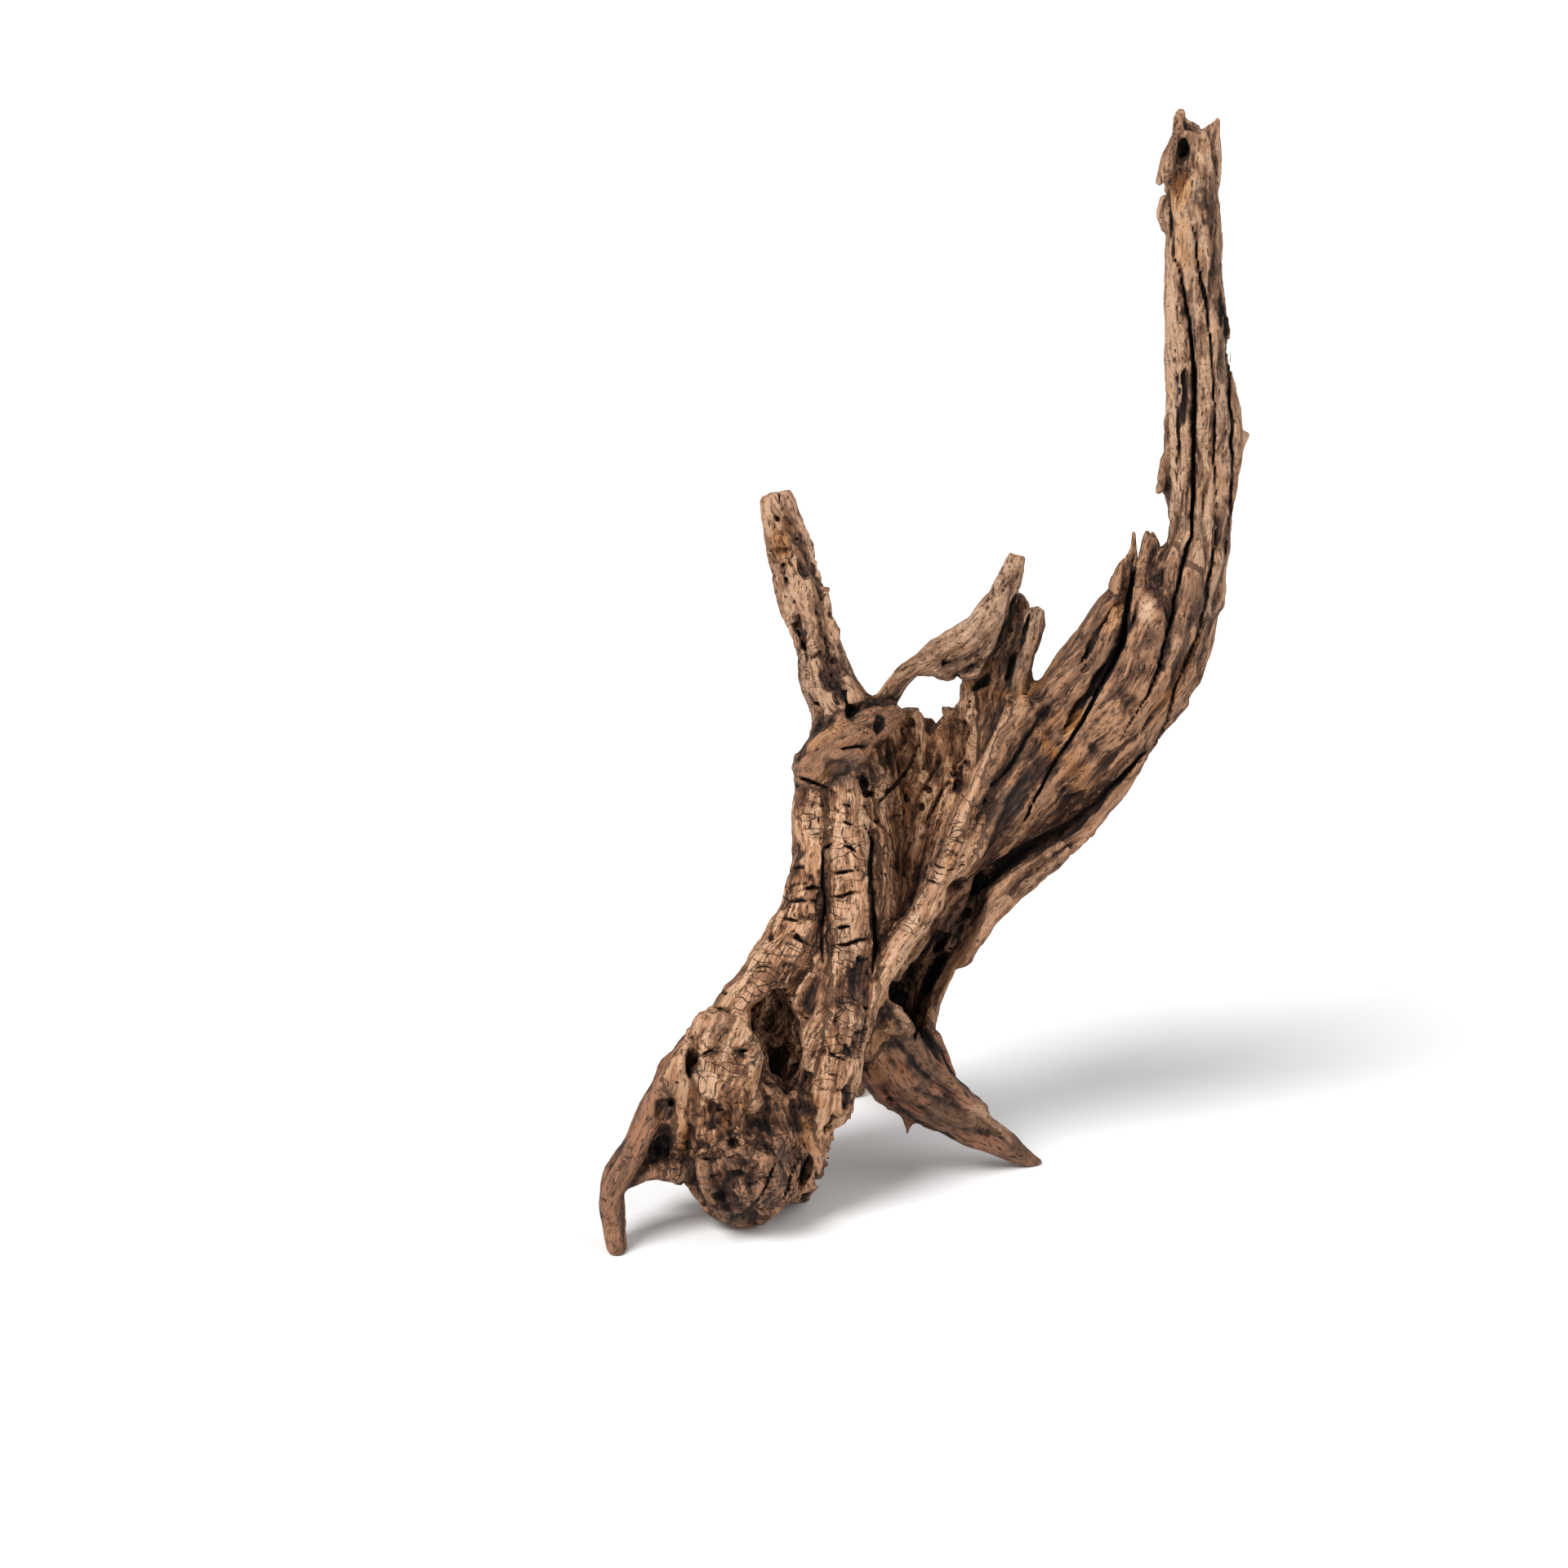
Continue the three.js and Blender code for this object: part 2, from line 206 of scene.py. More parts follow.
def bent(spots):
    """What the field holds where the bends have come from. The feet stay on the ground."""
    moved = spots.copy()
    free = smoothly(spots[:, 2], 0, 14)
    for bend in (SLOW_BEND, QUICK_BEND):
        for axis in range(3):
            moved[:, axis] += free * bend["by"] * bumps(spots / bend["size"], shift=axis + 1)
    return read(field, moved)


field_bent = field.copy()
field_bent[tuple(band.T)] = shared(bent, places)
field = field_bent

# The wood is one root, but its grain runs along each limb. A limb is the line along its middle, x, y, z and radius
# in millimetres, how deep each kind of mark is on it, and its look: how golden, how red and how grey it is.
PLACE = np.array([0.8, -6.4, 0], np.float32)     # moves the drawing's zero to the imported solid's
# Marks are lumps, ridges of the grain, fine ridges, splits along it, checks across it, worm pits and lifted flakes.
MARKS = ("lump", "ridge", "fine", "split", "check", "pit", "flake")
LIMBS = {
    "trunk": (
        [(-72, -36, 14, 22), (-70, -31, 31, 26), (-61, -23, 54, 28), (-50, -14, 74, 28), (-39, -6, 96, 26),
         (-32, 2, 117, 24), (-27, 9, 139, 21), (-26, 16, 170, 16)],
        (1.4, 1.0, 0.5, 0.8, 0.6, 0.7, 0.9), (0.7, 0.2, 0.05)),
    "left_ridge": (
        [(-42, 6, 172, 8), (-43, -8, 142, 11), (-50, -21, 115, 12), (-63, -32, 97, 13), (-75, -42, 80, 14),
         (-80, -48, 60, 15), (-79, -49, 36, 14)],
        (2.0, 0.7, 0.45, 0.4, 0.8, 0.9, 0.7), (1.0, 0.1, 0.0)),
    "middle_ridge": (
        [(-31, 2, 174, 9), (-29, -14, 134, 11), (-29, -21, 111, 11), (-31, -33, 82, 11), (-36, -42, 51, 11),
         (-42, -43, 32, 10), (-47, -40, 14, 8)],
        (2.0, 0.7, 0.45, 0.4, 0.75, 0.8, 0.7), (1.0, 0.1, 0.0)),
    "light_rib": (
        [(34, -1, 199, 5), (22, -5, 170, 6), (9, -8, 140, 7), (-2, -12, 115, 7), (-20, -23, 91, 8),
         (-27, -31, 73, 8)],
        (1.0, 0.5, 0.4, 0.3, 0.7, 0.6, 0.3), (1.0, 0.1, 0.1)),
    "lower_limb": (
        [(7, 20, 101, 11), (22, 17, 130, 16), (40, 14, 158, 20), (60, 11, 184, 23), (80, 8, 210, 24),
         (92, 7, 235, 21), (96, 7, 258, 17)],
        (1.1, 1.2, 0.4, 0.8, 0.0, 0.25, 0.4), (0.1, 0.1, 0.05)),
    "strip": (
        [(95, 6, 223, 13), (100, 6.5, 240, 14), (105, 7, 257, 14), (106, 7.7, 272, 15), (106, 9.5, 299, 15),
         (106, 9, 323, 14), (103, 8, 356, 12), (101, 6, 389, 11), (100, 4, 417, 9), (102, 4, 430, 7)],
        (0.8, 1.6, 0.7, 1.0, 0.1, 0.3, 0.4), (0.7, 0.0, 0.4)),
    "stub": (
        [(-24, 10, 166, 12), (-31, 16, 189, 12), (-38, 18, 203, 12), (-44, 21, 228, 10), (-51, 25, 254, 8),
         (-59, 29, 278, 6)],
        (1.3, 1.1, 0.8, 0.5, 0.3, 2.6, 1.7), (0.6, 0.0, 0.4)),
    "shoulder": (
        [(-45, 4, 168, 9), (-36, 4, 179, 12), (-25, 8, 186, 11), (-14, 18, 191, 8)],
        (2.4, 1.2, 0.9, 0.4, 0.3, 1.3, 1.9), (0.15, 0.6, 0.0)),
    "sheet": (
        [(-18, 8, 83, 10), (-9, 18, 109, 15), (-1, 24, 138, 18), (5, 29, 162, 19), (5, 31, 190, 16)],
        (2.2, 1.8, 0.8, 0.7, 0.3, 1.1, 1.8), (1.0, 0.05, 0.1)),
    "arch": (
        [(-22, 20, 187, 6), (-9, 25, 203, 5), (6, 24, 212, 7), (20, 20, 220, 8), (28, 18, 233, 7),
         (33, 16, 257, 3)],
        (0.9, 1.0, 0.7, 0.3, 0.1, 0.7, 0.6), (0.5, 0.0, 0.6)),
    "inner_blade": (
        [(24, 30, 165, 10), (30, 28, 196, 7), (37, 25, 221, 4.5), (40, 23, 238, 2)],
        (0.6, 0.7, 0.4, 0.2, 0.0, 0.2, 0.2), (0.3, 0.3, 0.3)),
    "outer_blade": (
        [(35, 16, 178, 6), (37, 18, 206, 4), (44, 16, 235, 3)],
        (0.5, 0.4, 0.3, 0.1, 0.0, 0.2, 0.1), (0.1, 0.1, 0.8)),
    "flange": (
        [(101, 6, 200, 6), (80, 1, 171, 8), (67, -2, 154, 9), (42, -2, 133, 9), (21, 3, 109, 10),
         (6, 8, 79, 10), (3, 8, 56, 9), (10, 8, 38, 8)],
        (0.8, 1.1, 0.8, 0.3, 0.1, 0.3, 0.7), (0.25, 0.1, 0.1)),
    "cavity_wall": (
        [(7, 24, 103, 9), (-1, 25, 81, 10), (-6, 21, 58, 11), (-4, 12, 36, 12)],
        (1.6, 1.2, 0.6, 0.5, 0.4, 0.6, 1.0), (0.1, 0.6, 0.1)),
    "spike": (
        [(-23, -6, 69, 14), (-11, -2, 49, 16), (3, 2, 34, 13), (18, 6, 22, 10), (35, 10, 9, 6),
         (48, 12, 0, 2)],
        (0.8, 0.5, 0.3, 0.2, 0.1, 0.2, 0.5), (0.0, 1.0, 0.0)),
    "knob": (
        [(-66, -44, 48, 24), (-60, -38, 24, 24), (-57, -36, 4, 22)],
        (2.2, 0.8, 0.5, 0.4, 0.6, 0.5, 0.8), (0.45, 0.55, 0.0)),
    "toe": (
        [(-88, -30, 80, 9), (-100, -45, 62, 9), (-106, -54, 52, 8), (-116, -65, 34, 9), (-121, -71, 19, 7),
         (-119, -72, 0, 5)],
        (0.9, 0.5, 0.25, 0.2, 0.3, 0.6, 0.2), (0.1, 0.8, 0.0)),
    "back_root": (
        [(-38, 8, 108, 16), (-40, 34, 84, 13), (-38, 54, 61, 11), (-34, 70, 38, 10), (-29, 81, 18, 9),
         (-26, 86, -2, 7)],
        (1.2, 1.3, 0.5, 0.9, 0.3, 0.4, 0.6), (0.4, 0.4, 0.1)),
    "back_stub": (
        [(-30, 16, 131, 13), (-24, 36, 137, 10), (-16, 50, 144, 8), (-8, 59, 153, 5)],
        (0.9, 1.2, 0.5, 0.8, 0.0, 0.3, 0.4), (0.4, 0.2, 0.4)),
}
LIMBS = {name: {"line": line, "look": look, **dict(zip(MARKS, depths))}
         for name, (line, depths, look) in LIMBS.items()}
LIMB_STEP = 4               # the lines are followed on a block of cells this many times coarser
LIMB_MARGIN = 34            # how far from a line its grain is followed
LIMB_EDGE = 8.0             # how sharply one limb's grain gives way to the next

coarse_shape = tuple(np.array(field.shape) // LIMB_STEP + 2)
coarse = np.indices(coarse_shape).reshape(3, -1).T
coarse_places = ((coarse * LIMB_STEP + low) * CELL).astype(np.float32)


def followed(line):
    """For the coarse cells near a line: how many radii away it is, and their place across, deep and along it."""
    line = np.array(line, np.float32)
    middle = line[:, :3] + PLACE
    radius = line[:, 3]
    ways = np.gradient(middle, axis=0)
    ways /= np.linalg.norm(ways, axis=1, keepdims=True)
    lengths = np.concatenate([[0], np.cumsum(np.linalg.norm(np.diff(middle, axis=0), axis=1))])
    near = np.all(coarse_places > middle.min(0) - LIMB_MARGIN, axis=1)
    near &= np.all(coarse_places < middle.max(0) + LIMB_MARGIN, axis=1)
    spots = coarse_places[near]
    best = np.full(len(spots), 1e9, np.float32)
    found = np.zeros((len(spots), 4), np.float32)
    for i in range(len(middle) - 1):
        part = middle[i + 1] - middle[i]
        share = (spots - middle[i]) @ part / (part @ part)
        first = 0 if i else -1
        last = 1 if i < len(middle) - 2 else 2
        share = np.clip(share, first, last)
        away = spots - middle[i] - share[:, None] * part
        distance = np.linalg.norm(away, axis=1)
        beyond = np.maximum(np.maximum(share - 1, -share), 0) * np.linalg.norm(part)
        size = radius[i] + np.clip(share, 0, 1) * (radius[i + 1] - radius[i])
        score = (distance + beyond) / size
        closer = score < best
        way = ways[i] + np.clip(share, 0, 1)[:, None] * (ways[i + 1] - ways[i])
        way /= np.linalg.norm(way, axis=1, keepdims=True)
        across = np.cross(way, (0, 1, 0))
        across /= np.maximum(np.linalg.norm(across, axis=1, keepdims=True), 0.05)
        deep = np.cross(across, way)
        along = lengths[i] + share * (lengths[i + 1] - lengths[i])
        values = np.stack([score, np.sum(away * across, 1), np.sum(away * deep, 1), along], axis=1)
        found[closer] = values[closer]
        best[closer] = score[closer]
    whole = np.zeros((len(coarse_places), 4), np.float32)
    whole[:, 0] = 1e3
    whole[near] = found
    return whole


lines = {name: followed(limb["line"]) for name, limb in LIMBS.items()}
nearest = np.min([line[:, 0] for line in lines.values()], axis=0)
share_sum = sum(np.exp(-LIMB_EDGE * (line[:, 0] - nearest)) for line in lines.values())
for line in lines.values():
    line[:, 0] = np.exp(-LIMB_EDGE * (line[:, 0] - nearest)) / share_sum
lines = {name: line.reshape(*coarse_shape, 4) for name, line in lines.items()}


def along_limbs(spots):
    """Each limb that reaches some of the spots, which ones, its share of them and their place on it."""
    for number, (name, limb) in enumerate(LIMBS.items()):
        held = read(lines[name], spots, CELL * LIMB_STEP)
        reached = held[:, 0] > 0.04
        yield number, limb, reached, held[reached, 0], held[reached, 1:]


def grain_bumps(place, stretch, size, shift):
    """Bumps that are stretched along the grain, at places across, deep and along it."""
    across, deep, along = place
    return bumps(np.stack([across, deep, along / stretch], axis=1) / size, shift)


CHECK_SPACING = 6.5         # from one check to the next


def marks(spots):
    """How far the wood's marks sink its surface at the spots, where its splits and checks are, and its worm pits."""
    sunk, split, check, pitted = np.zeros((4, len(spots)), np.float32)
    lumps = bumps(spots / 15, 5) + 0.5 * bumps(spots / 6.5, 6)
    wander = bumps(spots / 7, 8)
    grit = 0.45 * bumps(spots / 3.1, 7) + 0.3 * bumps(spots / 1.75, 11)
    pits = smoothly(bumps(spots / (2.6, 2.6, 3.4), 9), 0.38, 0.75) * smoothly(bumps(spots / 11, 10), -0.3, 0.4)
    for number, limb, reached, share, grain in along_limbs(spots):
        straight = across, deep, along = grain.T
        bent = (across + 1.6 * wander[reached], deep, along)
        ridge = 1 - np.minimum(1, np.abs(grain_bumps(bent, 14, 8.5, number)) / 0.42)
        narrow = 1 - np.minimum(1, np.abs(grain_bumps(bent, 14, 4.1, number + 0.5)) / 0.45)
        worn = smoothly(grain_bumps(straight, 3, 13, number + 20), -0.5, 0.5)
        terraces = 2.2 * grain_bumps(straight, 1.8, 9, number + 30)
        terrace = np.floor(terraces) + smoothly(terraces - np.floor(terraces), 0.35, 0.65)
        total = limb["lump"] * 0.8 * lumps[reached]
        total += limb["ridge"] * (1.5 * ridge**1.4 - 0.4)
        total += limb["fine"] * (0.3 + worn) * (1.1 * narrow**1.3 - 0.3)
        total += limb["flake"] * 0.7 * terrace
        total += (0.35 + 0.65 * limb["flake"]) * grit[reached]
        total += limb["pit"] * 1.5 * pits[reached]
        sunk[reached] += share * total
        pitted[reached] += share * limb["pit"] * pits[reached]
        # A split follows a slow seam of the grain: its place is how far the spot is from the seam, in millimetres.
        seam = grain_bumps(bent, 22, 11, number + 40)
        open_split = smoothly(grain_bumps(straight, 5, 12, number + 50), 0.0, 0.4)
        split[reached] += share * (limb["split"] * open_split - 0.25 - np.abs(seam) * 8)
        # A check runs across the grain, and wanders.
        row = along + 3.4 * bumps(spots[reached] / 12, number + 60) + 1.2 * wander[reached] + 0.8 * grit[reached]
        step = row / CHECK_SPACING - np.floor(row / CHECK_SPACING) - 0.5
        open_check = smoothly(grain_bumps(straight, 1, 8.5, number + 70), 0.0, 0.35)
        check[reached] += share * (0.75 * limb["check"] * open_check - 0.1 - np.abs(step) * CHECK_SPACING)
    return sunk, split, check, pitted


# What the front shows at a known place is carved there. A place in the picture, in pixels, is followed from the
# camera to the wood, and the cut goes on from there along the same line of sight.
eye = np.array(camera.location) * 1000
sight = np.array(ahead)
rise = np.array((0, math.sin(VIEW_DOWN), math.cos(VIEW_DOWN)))
PIXEL = SENSOR / FRAME_PIXELS / LENS        # how far apart two pixels are, one unit from the camera
FOCUS = VIEW_DISTANCE * 1000
PIXEL_SIZE = PIXEL * FOCUS                  # millimetres of wood in one pixel
NEAR, BEHIND = FOCUS - 160, FOCUS + 160     # the wood lies between these distances from the camera


def sight_lines(picture):
    """The ways in which the camera sees points of the picture."""
    ways = sight + (picture[:, :1] - FRAME_PIXELS / 2) * PIXEL * (1, 0, 0)
    return ways + (FRAME_PIXELS / 2 - picture[:, 1:2]) * PIXEL * rise


def seen(picture):
    """Where on the wood the picture's points are."""
    picture = np.array(picture, np.float64)
    ways = sight_lines(picture)
    far = np.full(len(picture), NEAR)
    closest = np.full(len(picture), 99.0)
    place = np.full(len(picture), NEAR)
    done = np.zeros(len(picture), bool)
    for _ in range(700):
        near_wood = read(field, eye + far[:, None] * ways)
        better = (near_wood < closest) & ~done
        closest[better] = near_wood[better]
        place[better] = far[better]
        done |= (near_wood < 0.1) | (far > BEHIND)
        far = np.where(done, far, far + np.clip(0.8 * near_wood, 0.3, 5))
        if done.all():
            break
    return eye + place[:, None] * ways


def on_screen(spots):
    """Places as the camera sees them: across and up in millimetres, and how far away."""
    away = spots - eye
    depth = away @ sight
    return np.stack([away[:, 0] / depth * FOCUS, away @ rise / depth * FOCUS, depth], axis=1)


def cells_near(spots, margin):
    """The cells within a margin of some places."""
    first = np.maximum(np.floor((np.min(spots, 0) - margin) / CELL).astype(int) - low, 0)
    last = np.minimum(np.ceil((np.max(spots, 0) + margin) / CELL).astype(int) - low + 1, field.shape)
    block = tuple(slice(a, b) for a, b in zip(first, last))
    index = np.indices(field[block].shape).reshape(3, -1).T + first
    return block, places_of(index)


def beside(spots, start, end):
    """How far along a straight part the spots are, from 0 to 1, and how far away from it."""
    part = end - start
    share = np.clip((spots - start) @ part / (part @ part), 0, 1)
    return share, np.linalg.norm(spots - start - share[:, None] * part, axis=1)


def spaced(values, count):
    """A few values spaced out along a path of so many points."""
    return np.interp(np.linspace(0, 1, count), np.linspace(0, 1, len(values)), values)


def turned(view, degrees):
    """How far across and how far up places in the camera's view are, once it is turned."""
    angle = math.radians(degrees)
    across = view[:, 0] * math.cos(angle) + view[:, 1] * math.sin(angle)
    return across, -view[:, 0] * math.sin(angle) + view[:, 1] * math.cos(angle)


def joined(block, shape, soft, side=1):
    """Adds a shape to the wood in a block of cells, with a soft crease. Where side is -1, it is cut out instead."""
    old = side * field[block].ravel()
    mix = np.clip(0.5 + 0.5 * (old - shape) / soft, 0, 1)
    new = old + mix * (shape - old) - soft * mix * (1 - mix)
    field[block] = side * new.reshape(field[block].shape)


def groove(path, half_width, depth, rough=0.35, close=0.7):
    """Cuts a crack along a line of the picture: x, y in pixels, half a width and a depth in millimetres."""
    spots = seen(path)
    line = on_screen(spots)
    widths = spaced(half_width, len(path))
    widths[[0, -1]] *= 0.4
    block, cells = cells_near(np.concatenate([spots, spots + depth * sight]), 5)
    view = on_screen(cells)
    view[:, 0] += rough * bumps(cells / 2.2, 3) + 2 * rough * bumps(cells / 7, 4)
    cut = np.full(len(cells), -9.0)
    for i in range(len(path) - 1):
        share, aside = beside(view[:, :2], line[i, :2], line[i + 1, :2])
        below = view[:, 2] - line[i, 2] - share * (line[i + 1, 2] - line[i, 2])
        width = widths[i] + share * (widths[i + 1] - widths[i])
        narrowed = width * (1 - close * np.clip(below / depth, 0, 1))
        cut = np.maximum(cut, np.minimum(np.minimum(narrowed - aside, depth - below), below + 9))
    field[block] = np.maximum(field[block], cut.reshape(field[block].shape).astype(np.float32))


def dent(middle, radii, depth, turn=0.0, rough=0.25, soft=0.8):
    """Hollows the wood out round a point of the picture: radii in pixels, depth in millimetres, turn in degrees."""
    spot = seen([middle])
    block, cells = cells_near(np.concatenate([spot, spot + depth * sight]), max(radii) * PIXEL_SIZE + 6)
    view = on_screen(cells) - on_screen(spot)[0]
    across, up = turned(view, turn)
    wide, high = radii[0] * PIXEL_SIZE, radii[1] * PIXEL_SIZE
    size = np.sqrt((across / wide) ** 2 + (up / high) ** 2 + (view[:, 2] / depth) ** 2)
    size += rough * bumps(cells / 4, 13) + 0.5 * rough * bumps(cells / 1.9, 14)
    joined(block, (size - 1) * min(wide, high, depth), soft, side=-1)


def grown_on(spots, widths, rough=0.3, soft=1.6):
    """Adds a rounded bar of wood through places in space."""
    spots = np.asarray(spots, np.float64)
    block, cells = cells_near(spots, max(widths) + 5)
    bar = np.full(len(cells), 9.0)
    for i in range(len(spots) - 1):
        share, aside = beside(cells, spots[i], spots[i + 1])
        bar = np.minimum(bar, aside - widths[i] - share * (widths[i + 1] - widths[i]))
    joined(block, bar + rough * bumps(cells / 2.4, 15), soft)


def raised(path, radii, sink=0.4, rough=0.3, soft=1.6):
    """Lays a rib of wood along a line of the picture. Radii are in millimetres, and sink is a share of them."""
    widths = spaced(radii, len(path))
    grown_on(seen(path) + (sink * widths)[:, None] * sight, widths, rough, soft)


def plate(outline, half, at=None, lift=0.0, lean=0.0, rough=0.4, soft=2.0):
    """Adds a plate of wood with an outline in the picture. Its middle is at a depth, or it lies on the wood."""
    outline = np.array(outline, np.float64)
    if at is None:
        at = seen([outline.mean(0)])[0][1] + half - lift
    ways = sight_lines(outline)
    spots = eye + ((at - eye[1]) / ways[:, 1])[:, None] * ways
    block, cells = cells_near(spots, half + 5)
    view = on_screen(cells)[:, :2]
    edge = (outline - FRAME_PIXELS / 2) * (PIXEL_SIZE, -PIXEL_SIZE)
    away = np.full(len(cells), 1e9)
    inside = np.zeros(len(cells), bool)
    for start, end in zip(edge, np.roll(edge, -1, axis=0)):
        away = np.minimum(away, beside(view, start, end)[1])
        crosses = (start[1] > view[:, 1]) != (end[1] > view[:, 1])
        slope = (end[0] - start[0]) / ((end[1] - start[1]) or 1e-9)
        inside ^= crosses & (view[:, 0] < start[0] + (view[:, 1] - start[1]) * slope)
    away = np.where(inside, -away, away)
    deep = np.abs(cells[:, 1] - at - lean * (cells[:, 2] - spots[:, 2].mean())) - half
    rounding = half * 0.6
    bar = np.hypot(np.maximum(away + rounding, 0), np.maximum(deep + rounding, 0)) - rounding
    joined(block, bar + rough * bumps(cells / 3, 16), soft)


# Plates: the blades round the window, the wood between the pale rib and the tall limb, what closes the black hole
# from behind, and the blocks of the foot.
PLATES = [
    {"outline": [(1086, 838), (1104, 815), (1125, 799), (1150, 776), (1187, 756), (1210, 724), (1226, 695),
     (1237, 677), (1241, 690), (1244, 682), (1254, 682), (1252, 706), (1246, 735), (1238, 760), (1228, 783),
     (1220, 803), (1212, 820), (1200, 833), (1178, 833), (1160, 835), (1142, 829), (1120, 828), (1103, 838),
     (1092, 852), (1078, 866)], "half": 2.4, "at": 13, "lean": 0.04},
    {"outline": [(1177, 830), (1205, 818), (1222, 792), (1237, 758), (1246, 724), (1256, 731), (1262, 741),
     (1258, 765), (1250, 790), (1240, 815), (1236, 840), (1250, 862), (1240, 888), (1200, 894), (1170, 882),
     (1174, 856)], "half": 3.8, "at": 20},
    {"outline": [(1263, 747), (1270, 741), (1279, 748), (1280, 765), (1273, 785), (1262, 805), (1255, 825),
     (1254, 850), (1246, 858), (1240, 840), (1244, 815), (1250, 790), (1256, 768)], "half": 2.6, "at": 12},
    {"outline": [(1242, 884), (1262, 876), (1250, 905), (1225, 955), (1200, 1015), (1180, 1060), (1160, 1082),
     (1150, 1075), (1175, 1010), (1205, 940)], "half": 7, "at": 0, "lean": 0.05, "soft": 4},
    {"outline": [(1250, 854), (1276, 862), (1272, 900), (1254, 945), (1228, 1000), (1206, 1048), (1182, 1074),
     (1160, 1078), (1176, 1035), (1200, 985), (1222, 930), (1238, 885)], "half": 6, "at": -11, "lean": 0.06, "soft":
     6},
    {"outline": [(1428, 432), (1427, 486), (1423, 530), (1420, 570), (1417, 603), (1426, 605), (1431, 613),
     (1440, 600), (1442, 486), (1440, 436)], "half": 3.5, "at": 1, "soft": 3},
    {"outline": [(1372, 702), (1380, 686), (1387, 657), (1390, 655), (1389, 675), (1395, 688), (1398, 705)], "half":
     1.8, "at": -1, "soft": 2},
    {"outline": [(1397, 700), (1397, 676), (1402, 651), (1406, 650), (1408, 668), (1413, 658), (1417, 659),
     (1419, 673), (1432, 674), (1440, 700)], "half": 2.0, "at": 1, "soft": 2},
    {"outline": [(1150, 1030), (1234, 1030), (1232, 1110), (1190, 1180), (1140, 1200), (1130, 1130)], "half": 3,
     "at": 21, "soft": 3},
    {"outline": [(1058, 1232), (1082, 1216), (1104, 1232), (1122, 1262), (1144, 1296), (1172, 1328), (1206, 1356),
     (1190, 1386), (1130, 1374), (1080, 1352), (1052, 1318)], "half": 8, "at": -16, "lean": -0.35, "soft": 7,
     "rough": 0.9},
    {"outline": [(780, 1402), (800, 1384), (832, 1384), (838, 1428), (806, 1436), (782, 1432)], "half": 3.5, "at":
     -50, "soft": 4, "rough": 0.8},
    {"outline": [(844, 1266), (828, 1292), (806, 1322), (790, 1350), (781, 1378), (798, 1392), (816, 1384),
     (834, 1392), (843, 1360), (847, 1325)], "half": 6, "lift": 2.0, "soft": 4, "rough": 0.8},
    {"outline": [(846, 1262), (880, 1240), (905, 1245), (925, 1268), (933, 1295), (928, 1325), (938, 1352),
     (918, 1366), (890, 1348), (864, 1342), (853, 1318), (856, 1290)], "half": 6, "lift": 3.5, "soft": 4},
    {"outline": [(850, 1418), (887, 1408), (906, 1400), (925, 1415), (950, 1424), (953, 1450), (930, 1474),
     (900, 1486), (872, 1480), (856, 1455)], "half": 6, "lift": 2.5, "soft": 6, "rough": 0.9},
]
for made in PLATES:
    plate(**made)

# Where the stub, the shoulder, the trunk and the toe run into each other the wood has grown over their creases.
GROWN_TOGETHER = [((1010, 945), 60), ((1045, 895), 40), ((985, 880), 40), ((858, 1262), 40), ((1100, 1250), 50),
                  ((905, 1378), 36), ((872, 1378), 26)]


def filled(middle, radius):
    """Fills the creases round a point of the picture. The radius is in pixels."""
    spot = seen([middle])
    block, cells = cells_near(spot, radius * PIXEL_SIZE + 12)
    near = smoothly(-np.linalg.norm(cells - spot, axis=1), -radius * PIXEL_SIZE * 1.3, -radius * PIXEL_SIZE * 0.8)
    old = field[block]
    soft = np.minimum(old, softened(old.copy(), 3, 3) - 0.4)
    mix = near.reshape(old.shape) * smoothly(-old, -7, -5)
    field[block] = old + mix * (soft - old)


for middle, radius in GROWN_TOGETHER:
    filled(middle, radius)

